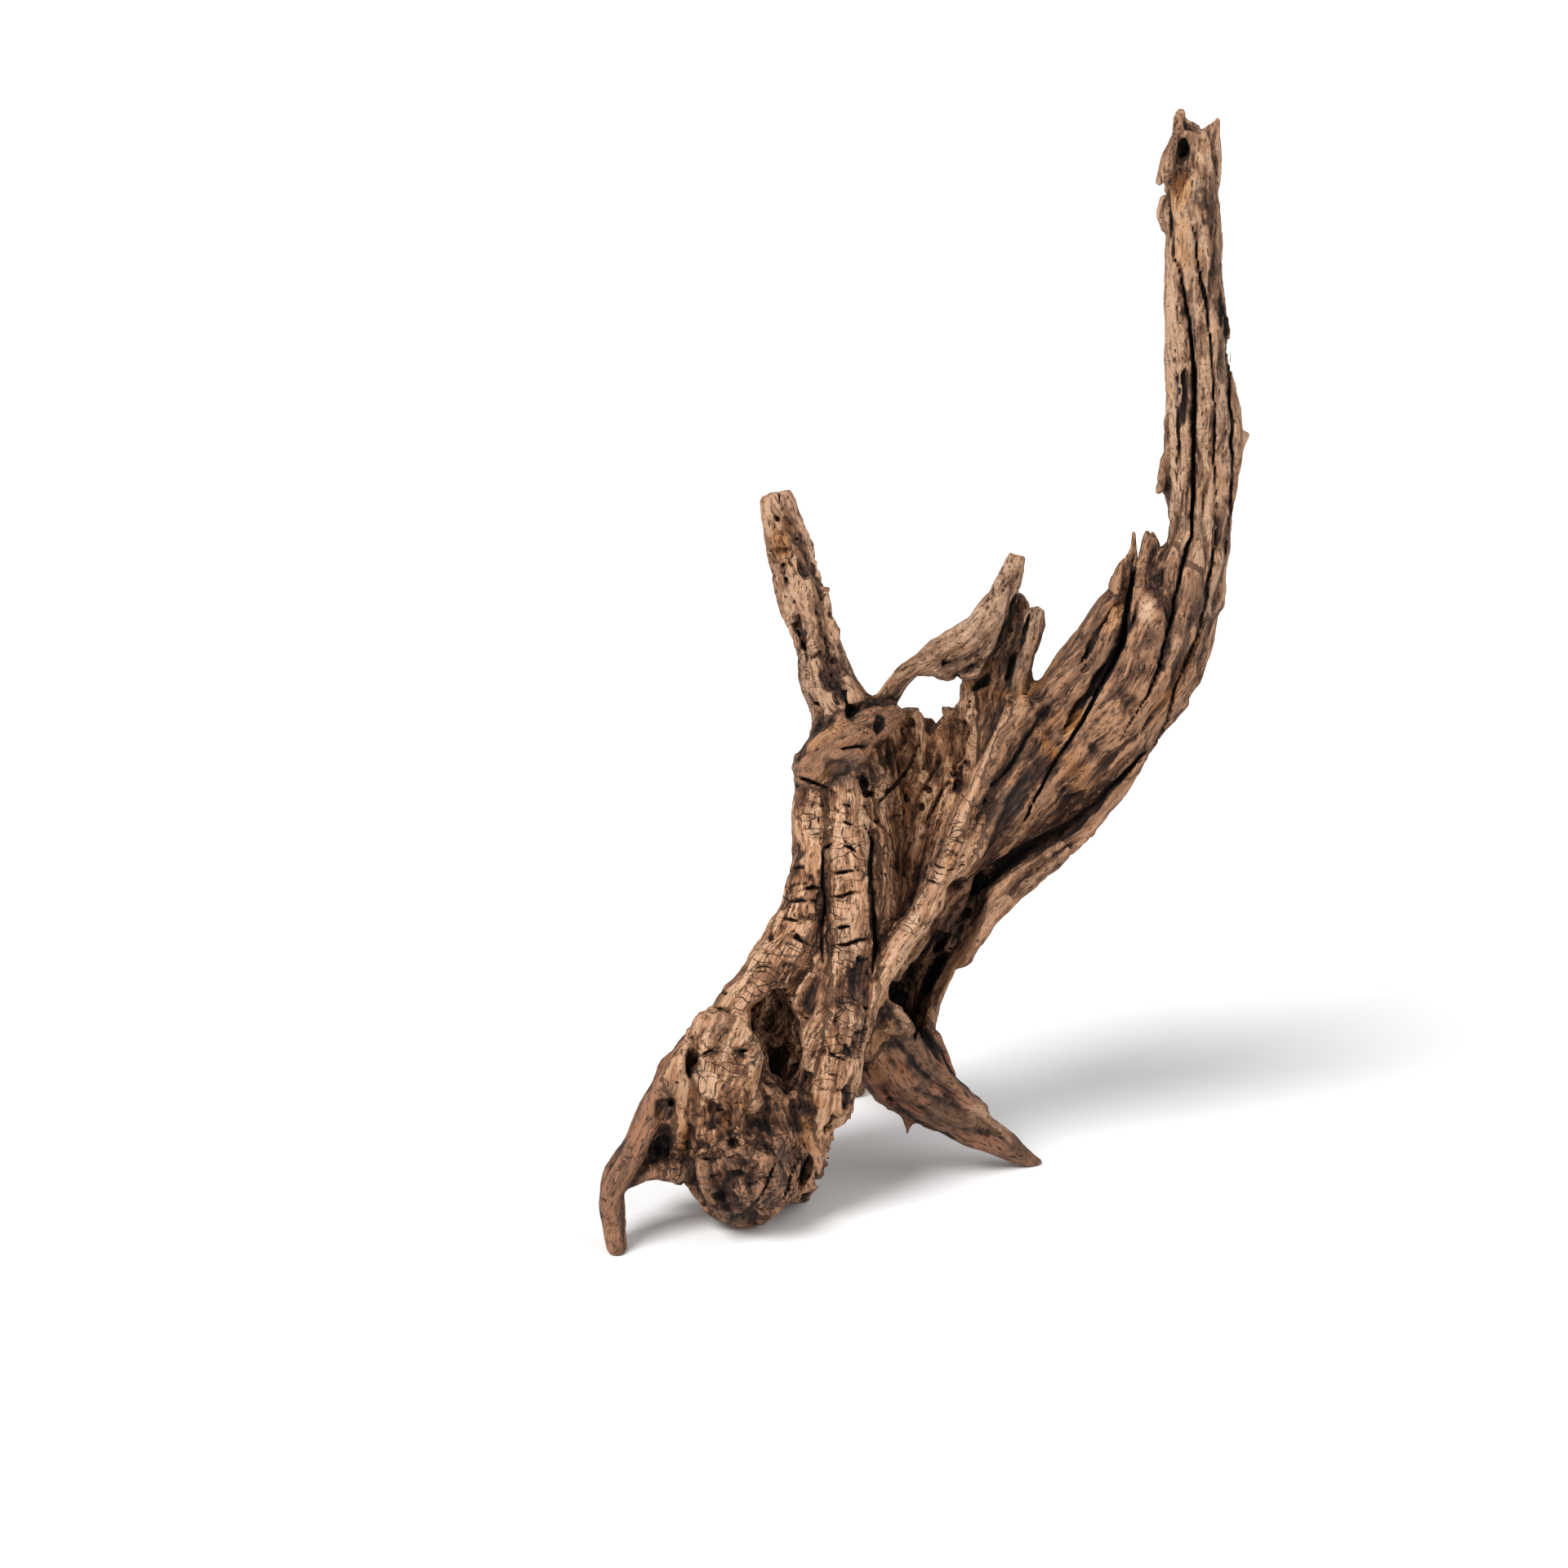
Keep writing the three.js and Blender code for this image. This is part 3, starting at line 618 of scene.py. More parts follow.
# Ribs and rims that stand out of the front.
RIBS = [
    ([(1006, 960), (1018, 965), (1032, 972), (1048, 989), (1061, 1005), (1077, 1018), (1085, 1047)],
     (0.8, 1.8, 2.2, 1.4)),
    ([(874, 1240), (862, 1256), (846, 1272)], (3, 5, 4), 0.9),
    ([(939, 614), (944, 642), (949, 674), (957, 707), (966, 748), (976, 792)], (2.8, 3.4, 4.0, 3.6, 3.0, 2.0), 0.6),
    ([(977, 640), (990, 672), (1000, 702), (1009, 740), (1016, 780)], (2.0, 3.4, 3.4, 3.0, 2.4), 0.7),
    ([(1300, 1034), (1262, 1060), (1226, 1088), (1196, 1124), (1171, 1166), (1150, 1205), (1140, 1245),
     (1140, 1280), (1155, 1318), (1180, 1346)], (1.6, 2.2, 2.2, 2.4, 2.4, 2.0), 0.5),
    ([(1238, 1396), (1200, 1362), (1168, 1330)], (0.6, 1.6, 2.0), 0.6),
    ([(1032, 886), (1018, 897), (1004, 907), (990, 918), (976, 928)], (1.4, 2.0, 2.0, 1.8, 1.2), 0.3),
    ([(1052, 900), (1034, 905), (1018, 913), (1002, 924), (988, 934)], (1.0, 1.6, 1.6, 1.4, 1.0), 0.3),
    ([(1029, 882), (1030, 868), (1040, 857), (1054, 854), (1060, 862)], (1.6, 2.2, 2.4, 2.2, 1.6), 0.4),
    ([(1062, 905), (1070, 918), (1073, 932)], (1.2, 1.6, 1.0), 0.4),
    ([(1004, 909), (1019, 908), (1037, 902), (1050, 897), (1065, 899), (1073, 909)], (0.8, 1.6, 1.4, 2.0, 1.6, 0.8),
     0.1, 0.9),
    ([(975, 940), (986, 935), (999, 936), (1009, 943), (1018, 955)], (0.8, 1.5, 1.5, 1.3, 1.0), 0.3, 0.6),
    ([(1004, 926), (1020, 930), (1036, 928)], (0.6, 1.2, 0.6), 0.3, 0.8),
    ([(1438, 191), (1433, 206), (1430, 232)], (0.5, 1.4, 1.2), 0.2),
    ([(1441, 206), (1450, 212), (1460, 202)], (0.8, 1.1, 0.8), 0.3),
    ([(1004, 704), (1012, 722), (1013, 744)], (0.8, 2.2, 1.0), 0.2),
    ([(1014, 752), (1023, 772), (1026, 796)], (0.8, 2.2, 1.0), 0.2),
    ([(985, 668), (994, 682), (998, 700)], (0.8, 1.8, 0.8), 0.2),
    ([(1036, 838), (1044, 850), (1056, 858)], (1.0, 1.8, 1.0), 0.3),
    ([(1112, 828), (1150, 800), (1190, 775), (1220, 735), (1238, 700)], (0.8, 1.3, 1.4, 1.1, 0.6), 0.3),
    ([(1130, 824), (1160, 822), (1186, 812), (1206, 790)], (0.6, 1.1, 1.1, 0.6), 0.4),
    ([(1384, 938), (1368, 965), (1352, 995), (1338, 1022), (1308, 1040), (1278, 1064), (1248, 1088), (1222, 1112),
     (1203, 1140), (1186, 1170)], (0.8, 1.4, 1.5, 1.5, 1.4, 1.2), 0.4),
    ([(931, 1330), (945, 1340), (960, 1347), (972, 1337), (984, 1318), (986, 1290)], (1.6, 2.2, 2.2, 1.4)),
    ([(846, 1413), (865, 1413), (887, 1405), (904, 1398), (918, 1410), (942, 1424)], (1.4, 2.2, 2.0, 2.2)),
    ([(1219, 846), (1232, 853), (1247, 862)], (0.7, 1.0, 0.8)),
    ([(1253, 858), (1228, 902), (1207, 955), (1195, 980)], (2.6, 3.2, 2.8, 1.6)),
    ([(1386, 931), (1374, 953), (1350, 979), (1335, 999), (1320, 1018)], (1.4, 2.0, 2.0, 1.6)),
    ([(1127, 1193), (1129, 1244), (1147, 1270), (1167, 1316)], (1.6, 2.0, 2.0, 1.4)),
    ([(1083, 1255), (1092, 1272), (1104, 1290)], (3.0, 4.0, 3.0)),
    ([(1424, 244), (1422, 262), (1426, 280)], (1.2, 1.8, 1.4)),
    ([(848, 1345), (837, 1370), (831, 1395), (834, 1416)], (1.6, 2.6, 2.6, 1.6)),
    ([(1012, 1392), (1002, 1438), (986, 1466)], (2.4, 3.0, 2.2)),
    ([(1152, 894), (1144, 908), (1136, 926)], (0.8, 1.2, 0.8)),
    ([(1350, 976), (1312, 1008), (1278, 1032)], (2.5, 3.8, 2.5), 2.3),
    ([(1324, 1028), (1313, 1039), (1301, 1050)], (1.6, 2.4, 1.6), 1.1),
    ([(1194, 808), (1204, 818), (1213, 828)], (1.4, 2.0, 1.4), 1.0),
]
for path, radii, *sink in RIBS:
    raised(path, radii, *sink)

# Splinters where the wood broke off, at the back of the ledge and at the end of the back stub: where each starts and
# ends, in millimetres, and its radius at the root.
SPLINTERS = [
    ((76, 6, 224), (73, 8, 251), 3.6),
    ((84, 14, 228), (82, 15, 263), 4.2),
    ((93, 16, 232), (90, 19, 256), 4.0),
    ((100, 15, 238), (101, 17, 276), 4.4),
    ((108, 10, 240), (111, 12, 268), 4.0),
    ((114, 2, 238), (117, 3, 262), 3.4),
    ((98, 12, 246), (105, 8, 292), 6.0),
    ((-14, 46, 142), (-3, 58, 156), 3.4),
    ((-16, 42, 146), (-6, 52, 161), 2.8),
    ((-12, 48, 138), (0, 60, 147), 2.6),
]
for root, tip, radius in SPLINTERS:
    grown_on([root, tip], [radius, 0.5], rough=0.6, soft=2.5)

# Hollows that rot has left in the front: middle in pixels, radii in pixels, depth in millimetres, turn in degrees.
HOLLOWS = [
    ((935, 1234), (30, 34), 16, -20), ((958, 1300), (20, 30), 9, -12), ((844, 1312), (6, 25), 8, -6),
    ((817, 1358), (14, 17), 4, 0), ((822, 1350), (5, 6), 6, 0), ((806, 1408), (15, 14), 8, -30),
    ((900, 1398), (8, 5), 4, 0), ((894, 1378), (4, 12), 2.5, 0), ((872, 1374), (20, 24), 3.0, -20),
    ((1050, 1420), (50, 76), 70, -16), ((897, 1439), (9, 4), 2, 10), ((882, 1467), (9, 5), 3, 0),
    ((892, 1482), (22, 7), 4, 0), ((983, 1442), (8, 22), 12, -20), ((1098, 1061), (4, 6), 5, -20),
    ((1197, 1082), (11, 24), 7, -24), ((1178, 1124), (8, 24), 6, -34), ((1152, 1156), (8, 18), 5, -34),
    ((822, 1249), (11, 15), 40, 20), ((826, 1269), (10, 42), 40, -36), ((1041, 872), (8, 12), 6, -35),
    ((1057, 958), (7, 15), 7, 0), ((1062, 972), (11, 5), 5, 0), ((1030, 944), (20, 14), 2.5, 20),
    ((1449, 186), (9, 18), 4.5, -8), ((1138, 968), (7, 5), 2.5, 0), ((1112, 884), (9, 7), 3, 0),
    ((1078, 884), (8, 13), 4, -20), ((1420, 704), (10, 9), 1.2, 0),
]
for middle, radii, depth, turn in HOLLOWS:
    dent(middle, radii, depth, turn)

# Worms have pitted the stub all over. Its line in pixels runs from its tip to its foot, and it widens downwards.
STUB_TIP, STUB_FOOT = np.array((948, 606)), np.array((1010, 846))
STUB_HALF = 14              # half the tip's width, and half of what the stub widens by
WORM_PITS = 90
worms = np.random.default_rng(19)
for _ in range(WORM_PITS):
    share, aside = worms.uniform(0, 1), worms.uniform(-0.7, 0.7)
    x, y = STUB_TIP + share * (STUB_FOOT - STUB_TIP)
    radii = (worms.uniform(1.8, 3.6), worms.uniform(2.6, 6.0))
    dent((x + aside * STUB_HALF * (1 + share), y), radii, depth=worms.uniform(1.0, 1.9), turn=12)

# Marks of growth and weather go all over the wood, and are shallow on its thinnest parts.
THIN = 2.2                  # how deep in the wood a spot is where marks are still half faded
band = np.argwhere((field > -4.8) & (field < 3)).astype(np.int32)
places = places_of(band)
thickness = -read(softened(field, 3, 2), places)
strength = smoothly(thickness, -THIN, THIN) * 0.65 + 0.35
sunk, split, check, _ = shared(marks, places)
foot = smoothly(places[:, 2], 0, 4)
values = field[tuple(band.T)] + sunk * strength * foot
field[tuple(band.T)] = values
whole = field.copy()        # the wood before it cracked

# Drying has split the wood along its grain and checked its ridges across it.
SPLIT_DEPTH, CHECK_DEPTH = 4.5, 2.2         # in millimetres
split_cut = np.minimum(split * (1 + np.clip(values / SPLIT_DEPTH, -1, 0)), values + SPLIT_DEPTH)
check_cut = np.minimum(check * (1 + 0.8 * np.clip(values / CHECK_DEPTH, -1, 0)), values + CHECK_DEPTH)
cracks = np.maximum(split_cut, check_cut) * strength * foot
cracks[strength < 0.5] = -9
field[tuple(band.T)] = np.maximum(values, cracks)

# The cracks that the front shows: a line in pixels, half its width along the way and its depth, in millimetres.
LONG_CRACKS = [
    ([(1442, 323), (1451, 361), (1456, 395), (1462, 430), (1461, 464), (1463, 499), (1462, 550), (1461, 602),
     (1457, 660)], (0.5, 0.8, 1.0, 1.0, 1.2), 9),
    ([(1457, 660), (1454, 669), (1447, 696), (1442, 720), (1437, 744), (1432, 764), (1427, 783), (1420, 807),
     (1413, 831), (1403, 856), (1388, 877), (1374, 902)], (1.3, 0.9, 0.7, 0.6, 0.4), 6),
    ([(1393, 680), (1386, 705), (1382, 732), (1379, 756), (1374, 785), (1367, 805), (1354, 829), (1340, 853),
     (1325, 882), (1311, 904), (1296, 926), (1282, 953), (1267, 977), (1260, 996), (1245, 1018)],
     (1.2, 1.4, 1.6, 1.1, 0.9, 0.7, 0.6, 0.4), 9),
    ([(1490, 640), (1484, 684), (1480, 713), (1473, 749), (1466, 776), (1454, 805), (1442, 834), (1432, 870),
     (1420, 902), (1413, 914)], (0.7, 0.8, 0.8, 0.7, 0.5), 4),
    ([(1457, 268), (1464, 299), (1466, 327), (1476, 368), (1482, 406), (1485, 440), (1487, 500), (1487, 560),
     (1490, 640)], (0.5, 0.7, 0.6, 0.7), 3.5),
    ([(1490, 223), (1497, 258), (1500, 299), (1502, 360), (1503, 420), (1504, 482), (1507, 516), (1509, 561),
     (1506, 619), (1500, 680)], (0.8, 0.9, 0.8, 0.6), 4),
    ([(1432, 235), (1434, 275), (1437, 313), (1442, 330)], (0.6, 0.7, 0.5), 3),
    ([(1440, 420), (1442, 500), (1443, 560), (1441, 630)], (0.4, 0.7, 0.5), 2.5),
    ([(1284, 865), (1265, 890), (1250, 919), (1236, 938), (1214, 962)], (1.0, 1.3, 1.0), 2.5),
    ([(1398, 925), (1366, 958), (1340, 985), (1312, 1010), (1280, 1032), (1250, 1048), (1222, 1064), (1205, 1085)],
     (0.3, 2.0, 3.0, 3.8, 3.6, 2.0), 5.5),
    ([(1208, 1100), (1180, 1134), (1157, 1168), (1136, 1204), (1124, 1240), (1122, 1272)],
     (1.4, 2.6, 2.6, 2.4, 1.2), 7),
    ([(1002, 1000), (1007, 1047), (1006, 1082), (1011, 1106), (1007, 1133), (1005, 1163), (1007, 1185)],
     (0.4, 0.8, 0.9, 0.5), 4),
    ([(1056, 1010), (1069, 1031), (1066, 1063), (1069, 1096), (1069, 1128), (1072, 1155), (1068, 1192)],
     (0.7, 1.2, 1.4, 0.8), 5),
    ([(972, 950), (990, 956), (1006, 962), (1022, 970)], (0.5, 0.9, 0.7, 0.4), 4),
    ([(1069, 914), (1052, 914), (1030, 917), (1016, 918)], (0.3, 0.7, 0.6, 0.3), 2.5),
    ([(1247, 722), (1240, 742), (1234, 765), (1225, 790), (1214, 815), (1204, 835), (1192, 845)],
     (1.0, 1.8, 2.4, 2.6), 3.5),
    ([(1259, 752), (1249, 785), (1240, 808), (1236, 830), (1238, 850)], (1.2, 1.8, 1.8, 1.2), 3.5),
    ([(950, 592), (953, 606), (958, 626)], (0.5, 0.6, 0.3), 5),
    ([(1236, 708), (1227, 723), (1221, 731)], (0.5, 0.7, 0.4), 2),
    ([(1130, 905), (1105, 950), (1075, 985)], (0.6, 1.0, 0.7), 2.5),
    ([(1182, 880), (1150, 935), (1120, 985)], (0.6, 0.9, 0.6), 2),
    ([(1185, 930), (1160, 960), (1130, 1010)], (0.6, 0.9, 0.6), 2),
    ([(846, 1418), (870, 1420), (890, 1416)], (0.3, 0.6, 0.3), 2),
    ([(962, 1391), (950, 1422), (938, 1454), (928, 1468), (914, 1480)], (0.4, 0.7, 0.5), 3.5),
    ([(977, 1415), (967, 1442), (965, 1454), (957, 1471)], (0.4, 0.7, 0.5), 3.5),
]
for path, half_width, depth in LONG_CRACKS:
    groove(path, half_width, depth)

CHECKS = [
    [(986, 1035), (1004, 1034)], [(1007, 1040), (1016, 1036), (1024, 1031)],
    [(1030, 1035), (1041, 1038), (1050, 1045)], [(1015, 1070), (1032, 1068), (1053, 1065)],
    [(1013, 1098), (1028, 1098), (1042, 1093), (1056, 1093)], [(981, 1089), (993, 1087), (1005, 1088)],
    [(992, 1050), (1002, 1049)], [(1021, 1137), (1034, 1135), (1045, 1133)],
    [(1020, 1158), (1036, 1157), (1050, 1151), (1066, 1149)], [(962, 1144), (977, 1150), (991, 1157)],
    [(943, 1155), (959, 1163)], [(957, 1123), (969, 1127), (980, 1128)], [(989, 1124), (1007, 1128)],
    [(989, 1165), (1004, 1171)], [(924, 1163), (940, 1166)], [(1042, 1022), (1061, 1013)],
    [(1007, 1021), (1024, 1018)], [(894, 1286), (906, 1287), (918, 1285)], [(856, 1294), (866, 1289), (880, 1281)],
    [(1008, 1335), (1030, 1333)], [(977, 1342), (994, 1359)], [(1025, 1267), (1040, 1289)],
    [(974, 1265), (991, 1257)], [(1109, 1160), (1125, 1165)], [(1131, 1133), (1150, 1130)],
    [(1001, 1323), (1008, 1335)], [(1040, 1200), (1058, 1206)],
]
for path in CHECKS:
    groove(path, (0.45, 0.85, 0.5), 3, rough=0.5, close=0.5)

# The field becomes a skin of quads, without the crumbs that the cuts leave, and is thinned where it is plain.
MOST_TRIANGLES = 196000
grid = openvdb.FloatGrid(REACH * CELL)
grid.copyFromArray(field, ijk=tuple(int(v) for v in low))
grid.transform = openvdb.createLinearTransform(CELL)
points, quads = grid.convertToQuads(isovalue=0.0)
mesh = bpy.data.meshes.new("driftwood_wood")
mesh.from_pydata((points / 1000).tolist(), [], quads[:, ::-1].tolist())
wood = bpy.data.objects.new("driftwood_wood", mesh)
bpy.context.collection.objects.link(wood)
bpy.ops.object.select_all(action="DESELECT")
wood.select_set(True)
bpy.context.view_layer.objects.active = wood
picked = np.zeros(len(mesh.vertices), bool)
picked[np.argmax(points[:, 2])] = True
mesh.vertices.foreach_set("select", picked)
bpy.ops.object.mode_set(mode="EDIT")
bpy.ops.mesh.select_mode(type="VERT")
bpy.ops.mesh.select_linked()
bpy.ops.mesh.select_all(action="INVERT")
bpy.ops.mesh.delete(type="VERT")
bpy.ops.object.mode_set(mode="OBJECT")
thinned = wood.modifiers.new("Thinned", "DECIMATE")
thinned.ratio = MOST_TRIANGLES / (2 * len(mesh.polygons))
thinned.use_collapse_triangulate = True
bpy.ops.object.modifier_apply(modifier=thinned.name)
mesh.validate()
bpy.ops.object.shade_smooth()

# The skin carries what its finish needs: its place along the grain, how worn, raised, hollow and cracked it is, from
# which highlight and shade are painted on it, and its look.
skin = np.empty(len(mesh.vertices) * 3, np.float32)
mesh.vertices.foreach_get("co", skin)
skin = skin.reshape(-1, 3) * 1000
near_soft = read(softened(field, 2, 2), skin)
wide_soft = read(softened(field, 4, 2), skin)
pitted = shared(marks, skin)[3]
EVERY = 3
far_cells = softened(np.clip(field[::EVERY, ::EVERY, ::EVERY], -4, 4), 2, 3)
far_soft = read(far_cells, skin, CELL * EVERY)
below = -read(whole, skin)
# How far into the wood's hollows a point lies: painted shade there.
hollow_shade = smoothly(-far_soft, -0.3, 2.6)
# How raised a point is: painted highlight on ridges and painted shade in creases, with paler worn edges.
relief = np.clip(0.5 + 0.42 * near_soft + 0.16 * wide_soft, 0, 1)
# How far below the unbroken surface a point lies, or how pitted it is: painted shade inside cracks and worm pits.
crack_shade = np.maximum(smoothly(below, 0.5, 1.8), 0.55 * smoothly(pitted, 0.3, 1.0))
looks = np.zeros((len(skin), 3), np.float32)
grain = np.zeros((len(skin), 3), np.float32)
streak = np.zeros(len(skin), np.float32)
dry = np.zeros(len(skin), np.float32)
most = np.zeros(len(skin), np.float32)
for number, limb, reached, share, held in along_limbs(skin):
    looks[reached] += share[:, None] * np.array(limb["look"], np.float32)
    dry[reached] += share * limb["check"]
    lane = held * (1 / 4.5, 1 / 4.5, 1 / 60)
    streak[reached] += share * (bumps(lane, number + 80) + 0.5 * bumps(lane * 2.1, number + 90))
    chosen = np.zeros(len(skin), bool)
    chosen[reached] = share > most[reached]
    most[reached] = np.maximum(most[reached], share)
    grain[chosen] = (held + (number * 53, 0, 0))[chosen[reached]]


def keep(name, values):
    """Stores one or three values on each of the wood's points for its material."""
    kind, part = ("FLOAT_VECTOR", "vector") if values.ndim > 1 else ("FLOAT", "value")
    layer = mesh.attributes.new(name, kind, "POINT")
    layer.data.foreach_set(part, np.ascontiguousarray(values, np.float32).ravel())


keep("grain", grain / 1000)
# Painted shade and highlight masks, with the wear of raised edges: hollow shade, relief and crack shade.
keep("shade_and_wear", np.stack([hollow_shade, relief, crack_shade], axis=1))
keep("look", looks)
keep("streak", streak)
keep("dry", dry)

# Stains of the front, of three kinds: middle in pixels, radii in pixels, turn in degrees and strength. The charred
# ones are partly real charcoal patches and partly painted shade over the rot hollows and the dark gap between toe and
# foot.
STAINS = {
    "charred": [
        ((1036, 942), (40, 26), -10, 0.8), ((806, 1408), (18, 17), -30, 0.97), ((816, 1352), (10, 20), 0, 0.8),
        ((1041, 872), (8, 12), 35, 0.9), ((1057, 958), (9, 17), 0, 0.85), ((905, 1490), (30, 10), 0, 0.8),
        ((1005, 1445), (18, 30), 16, 0.85), ((1232, 990), (30, 20), -35, 0.8), ((1240, 1010), (20, 12), -35, 0.6),
        ((1420, 704), (13, 10), 0, 0.85), ((1444, 771), (7, 10), 0, 0.6), ((1352, 812), (30, 14), -60, 0.5),
        ((1104, 1262), (16, 26), 30, 0.7), ((1124, 1300), (60, 17), 36, 0.6), ((1160, 1262), (10, 34), 30, 0.6),
        ((1196, 1086), (13, 26), 24, 0.95), ((1160, 1140), (12, 44), 34, 0.9), ((1285, 1062), (95, 13), -40, 0.4),
        ((1150, 1215), (8, 50), 10, 0.35), ((1062, 1030), (9, 40), 0, 0.3), ((1500, 430), (5, 60), 2, 0.5),
        ((1483, 250), (5, 22), 0, 0.7), ((1432, 172), (14, 34), -20, 0.55), ((1450, 186), (8, 16), 8, 0.5),
    ],
    "ochre": [
        ((1012, 900), (30, 8), -40, 0.35), ((836, 1392), (8, 24), 0, 0.75), ((1316, 885), (12, 20), 35, 0.8),
        ((1283, 917), (16, 10), 45, 0.7), ((1323, 962), (14, 9), 40, 0.5), ((1362, 756), (10, 22), 30, 0.5),
        ((1172, 935), (8, 40), 40, 0.6), ((1140, 960), (50, 100), 35, 0.25), ((1110, 975), (9, 44), 35, 0.6),
        ((1140, 915), (7, 30), 35, 0.55), ((1165, 1052), (7, 26), 15, 0.5), ((1384, 945), (7, 18), 25, 0.6),
        ((1447, 232), (14, 30), 5, 0.6), ((1446, 300), (9, 40), 0, 0.4), ((955, 665), (12, 26), -12, 0.6),
        ((1440, 790), (8, 11), 0, 0.2),
    ],
    "pale": [
        ((1212, 1372), (44, 13), 36, 0.45), ((1172, 778), (80, 24), -45, 0.35), ((1140, 960), (50, 100), 35, 0.2),
        ((1405, 742), (10, 20), 10, 0.9), ((1440, 790), (8, 11), 0, 0.8), ((1128, 1112), (9, 34), 32, 0.75),
        ((1150, 1070), (7, 26), 20, 0.4), ((1046, 1240), (16, 30), 30, 0.5), ((880, 1270), (16, 24), 0, 0.45),
        ((1000, 1012), (22, 10), 10, 0.4), ((1040, 980), (10, 22), -50, 0.4),
    ],
}
view = on_screen(skin)
wobble = np.stack([bumps(skin / 6, 31) + 0.6 * bumps(skin / 2.5, 32), bumps(skin / 6, 33)], axis=1)
stains = np.zeros((len(skin), 3), np.float32)
for kind, group in enumerate(STAINS.values()):
    for middle, radii, turn, amount in group:
        away = view - on_screen(seen([middle]))[0]
        across, up = turned(away, -turn)
        wide, high = radii[0] * PIXEL_SIZE, radii[1] * PIXEL_SIZE
        size = np.hypot(across / wide + 0.35 * wobble[:, 0], up / high + 0.3 * wobble[:, 1])
        reach = smoothly(-size, -1.15, -0.55) * smoothly(-np.abs(away[:, 2]), -16, -10)
        stains[:, kind] = np.maximum(stains[:, kind], amount * reach)
keep("stain", stains)


# The wood's finish: brown heartwood with fibres along the grain, golden where it is dry, red-brown at the feet, grey
# where it is most weathered, with painted shade that makes it nearly black in hollows and cracks, and pale along worn
# edges, partly as painted highlight. It has no shine.
def linear(*colour):
    """A colour as the eye names it, 0 to 255, as the shader wants it."""
    return tuple((c / 255 / 12.92) if c < 11 else ((c / 255 + 0.055) / 1.055) ** 2.4 for c in colour) + (1,)


def put(tree, kind, sockets=(), **settings):
    """Adds a node: settings are its own, and sockets are its inputs, each a value or the output that feeds it."""
    made = tree.nodes.new(kind)
    for name, value in settings.items():
        setattr(made, name, value)
    for name, value in dict(sockets).items():
        if isinstance(value, bpy.types.NodeSocket):
            tree.links.new(value, made.inputs[name])
        else:
            made.inputs[name].default_value = value
    return made


def ramp(tree, factor, *stops):
    """A colour ramp. A stop is its place and its colour."""
    made = put(tree, "ShaderNodeValToRGB", {"Fac": factor})
    band = made.color_ramp.elements
    for element, (place, *colour) in zip(band, (stops[0], stops[-1])):
        element.position = place
        element.color = linear(*colour)
    for place, *colour in stops[1:-1]:
        band.new(place).color = linear(*colour)
    return made.outputs["Color"]


def mixed(tree, factor, first, second):
    """Two colours mixed."""
    return put(tree, "ShaderNodeMix", {0: factor, 6: first, 7: second}, data_type="RGBA").outputs[2]


def times(tree, first, second):
    """One value times another."""
    return put(tree, "ShaderNodeMath", {0: first, 1: second}, operation="MULTIPLY").outputs[0]


def weighted(tree, *parts):
    """The sum of some values, each times its share."""
    total = 0.0
    for value, share in parts:
        total = put(tree, "ShaderNodeMath", {0: value, 1: share, 2: total}, operation="MULTIPLY_ADD").outputs[0]
    return total


def spread(tree, value, start, end, low_end=0.0, high_end=1.0):
    """A value stretched from one range to another, and kept inside it."""
    return put(tree, "ShaderNodeMapRange", {0: value, 1: start, 2: end, 3: low_end, 4: high_end}).outputs[0]


def placed(tree, way, first, second):
    """A sum on two places."""
    return put(tree, "ShaderNodeVectorMath", {0: first, 1: second}, operation=way).outputs[0]


def noise(tree, place, scale, detail, roughness=0.5):
    """Noise from about 0 to 1."""
    sockets = {"Vector": place, "Scale": scale, "Detail": detail, "Roughness": roughness}
    return put(tree, "ShaderNodeTexNoise", sockets).outputs


# What weather does to any surface of this wood: fibres, pores, patches, blotches and checks, each from 0 to 1, and a
# height. SHAKE is how far, in metres, the fibres wander, and the others are how much shorter patterns are along the
# grain than they would be if they weren't stretched.
SHAKE = (0.004, 0.004, 0.004)
ALONG_FIBRES, ALONG_BLOTCHES, ALONG_CHECKS = (1.0, 1.0, 0.055), (1.0, 1.0, 0.25), (1.0, 1.0, 2.1)
weather = bpy.data.node_groups.new("weathered_grain", "ShaderNodeTree")
for name in ("Grain", "Place"):
    weather.interface.new_socket(name, in_out="INPUT", socket_type="NodeSocketVector")
for name in ("Fibres", "Pores", "Patches", "Blotches", "Checks", "Height"):
    weather.interface.new_socket(name, in_out="OUTPUT", socket_type="NodeSocketFloat")
given = weather.nodes.new("NodeGroupInput").outputs
wavy = noise(weather, given["Place"], 90.0, 2.0)["Color"]
shaken = placed(weather, "MULTIPLY", placed(weather, "SUBTRACT", wavy, (0.5, 0.5, 0.5)), SHAKE)
drawn = placed(weather, "ADD", given["Grain"], shaken)
long_way = placed(weather, "MULTIPLY", drawn, ALONG_FIBRES)
short_way = placed(weather, "MULTIPLY", drawn, ALONG_BLOTCHES)
fibres = noise(weather, long_way, 620.0, 4.0, 0.62)[0]
coarse_fibres = noise(weather, long_way, 210.0, 3.0, 0.55)[0]
pores = noise(weather, short_way, 900.0, 2.0, 0.6)[0]
patches = noise(weather, given["Place"], 48.0, 5.0, 0.62)[0]
blotches = noise(weather, short_way, 130.0, 5.0, 0.65)[0]
scales = noise(weather, short_way, 340.0, 4.0, 0.6)[0]
crossed = placed(weather, "ADD", placed(weather, "MULTIPLY", shaken, (0.8, 0.8, 0.8)), drawn)
crossed = placed(weather, "MULTIPLY", crossed, ALONG_CHECKS)
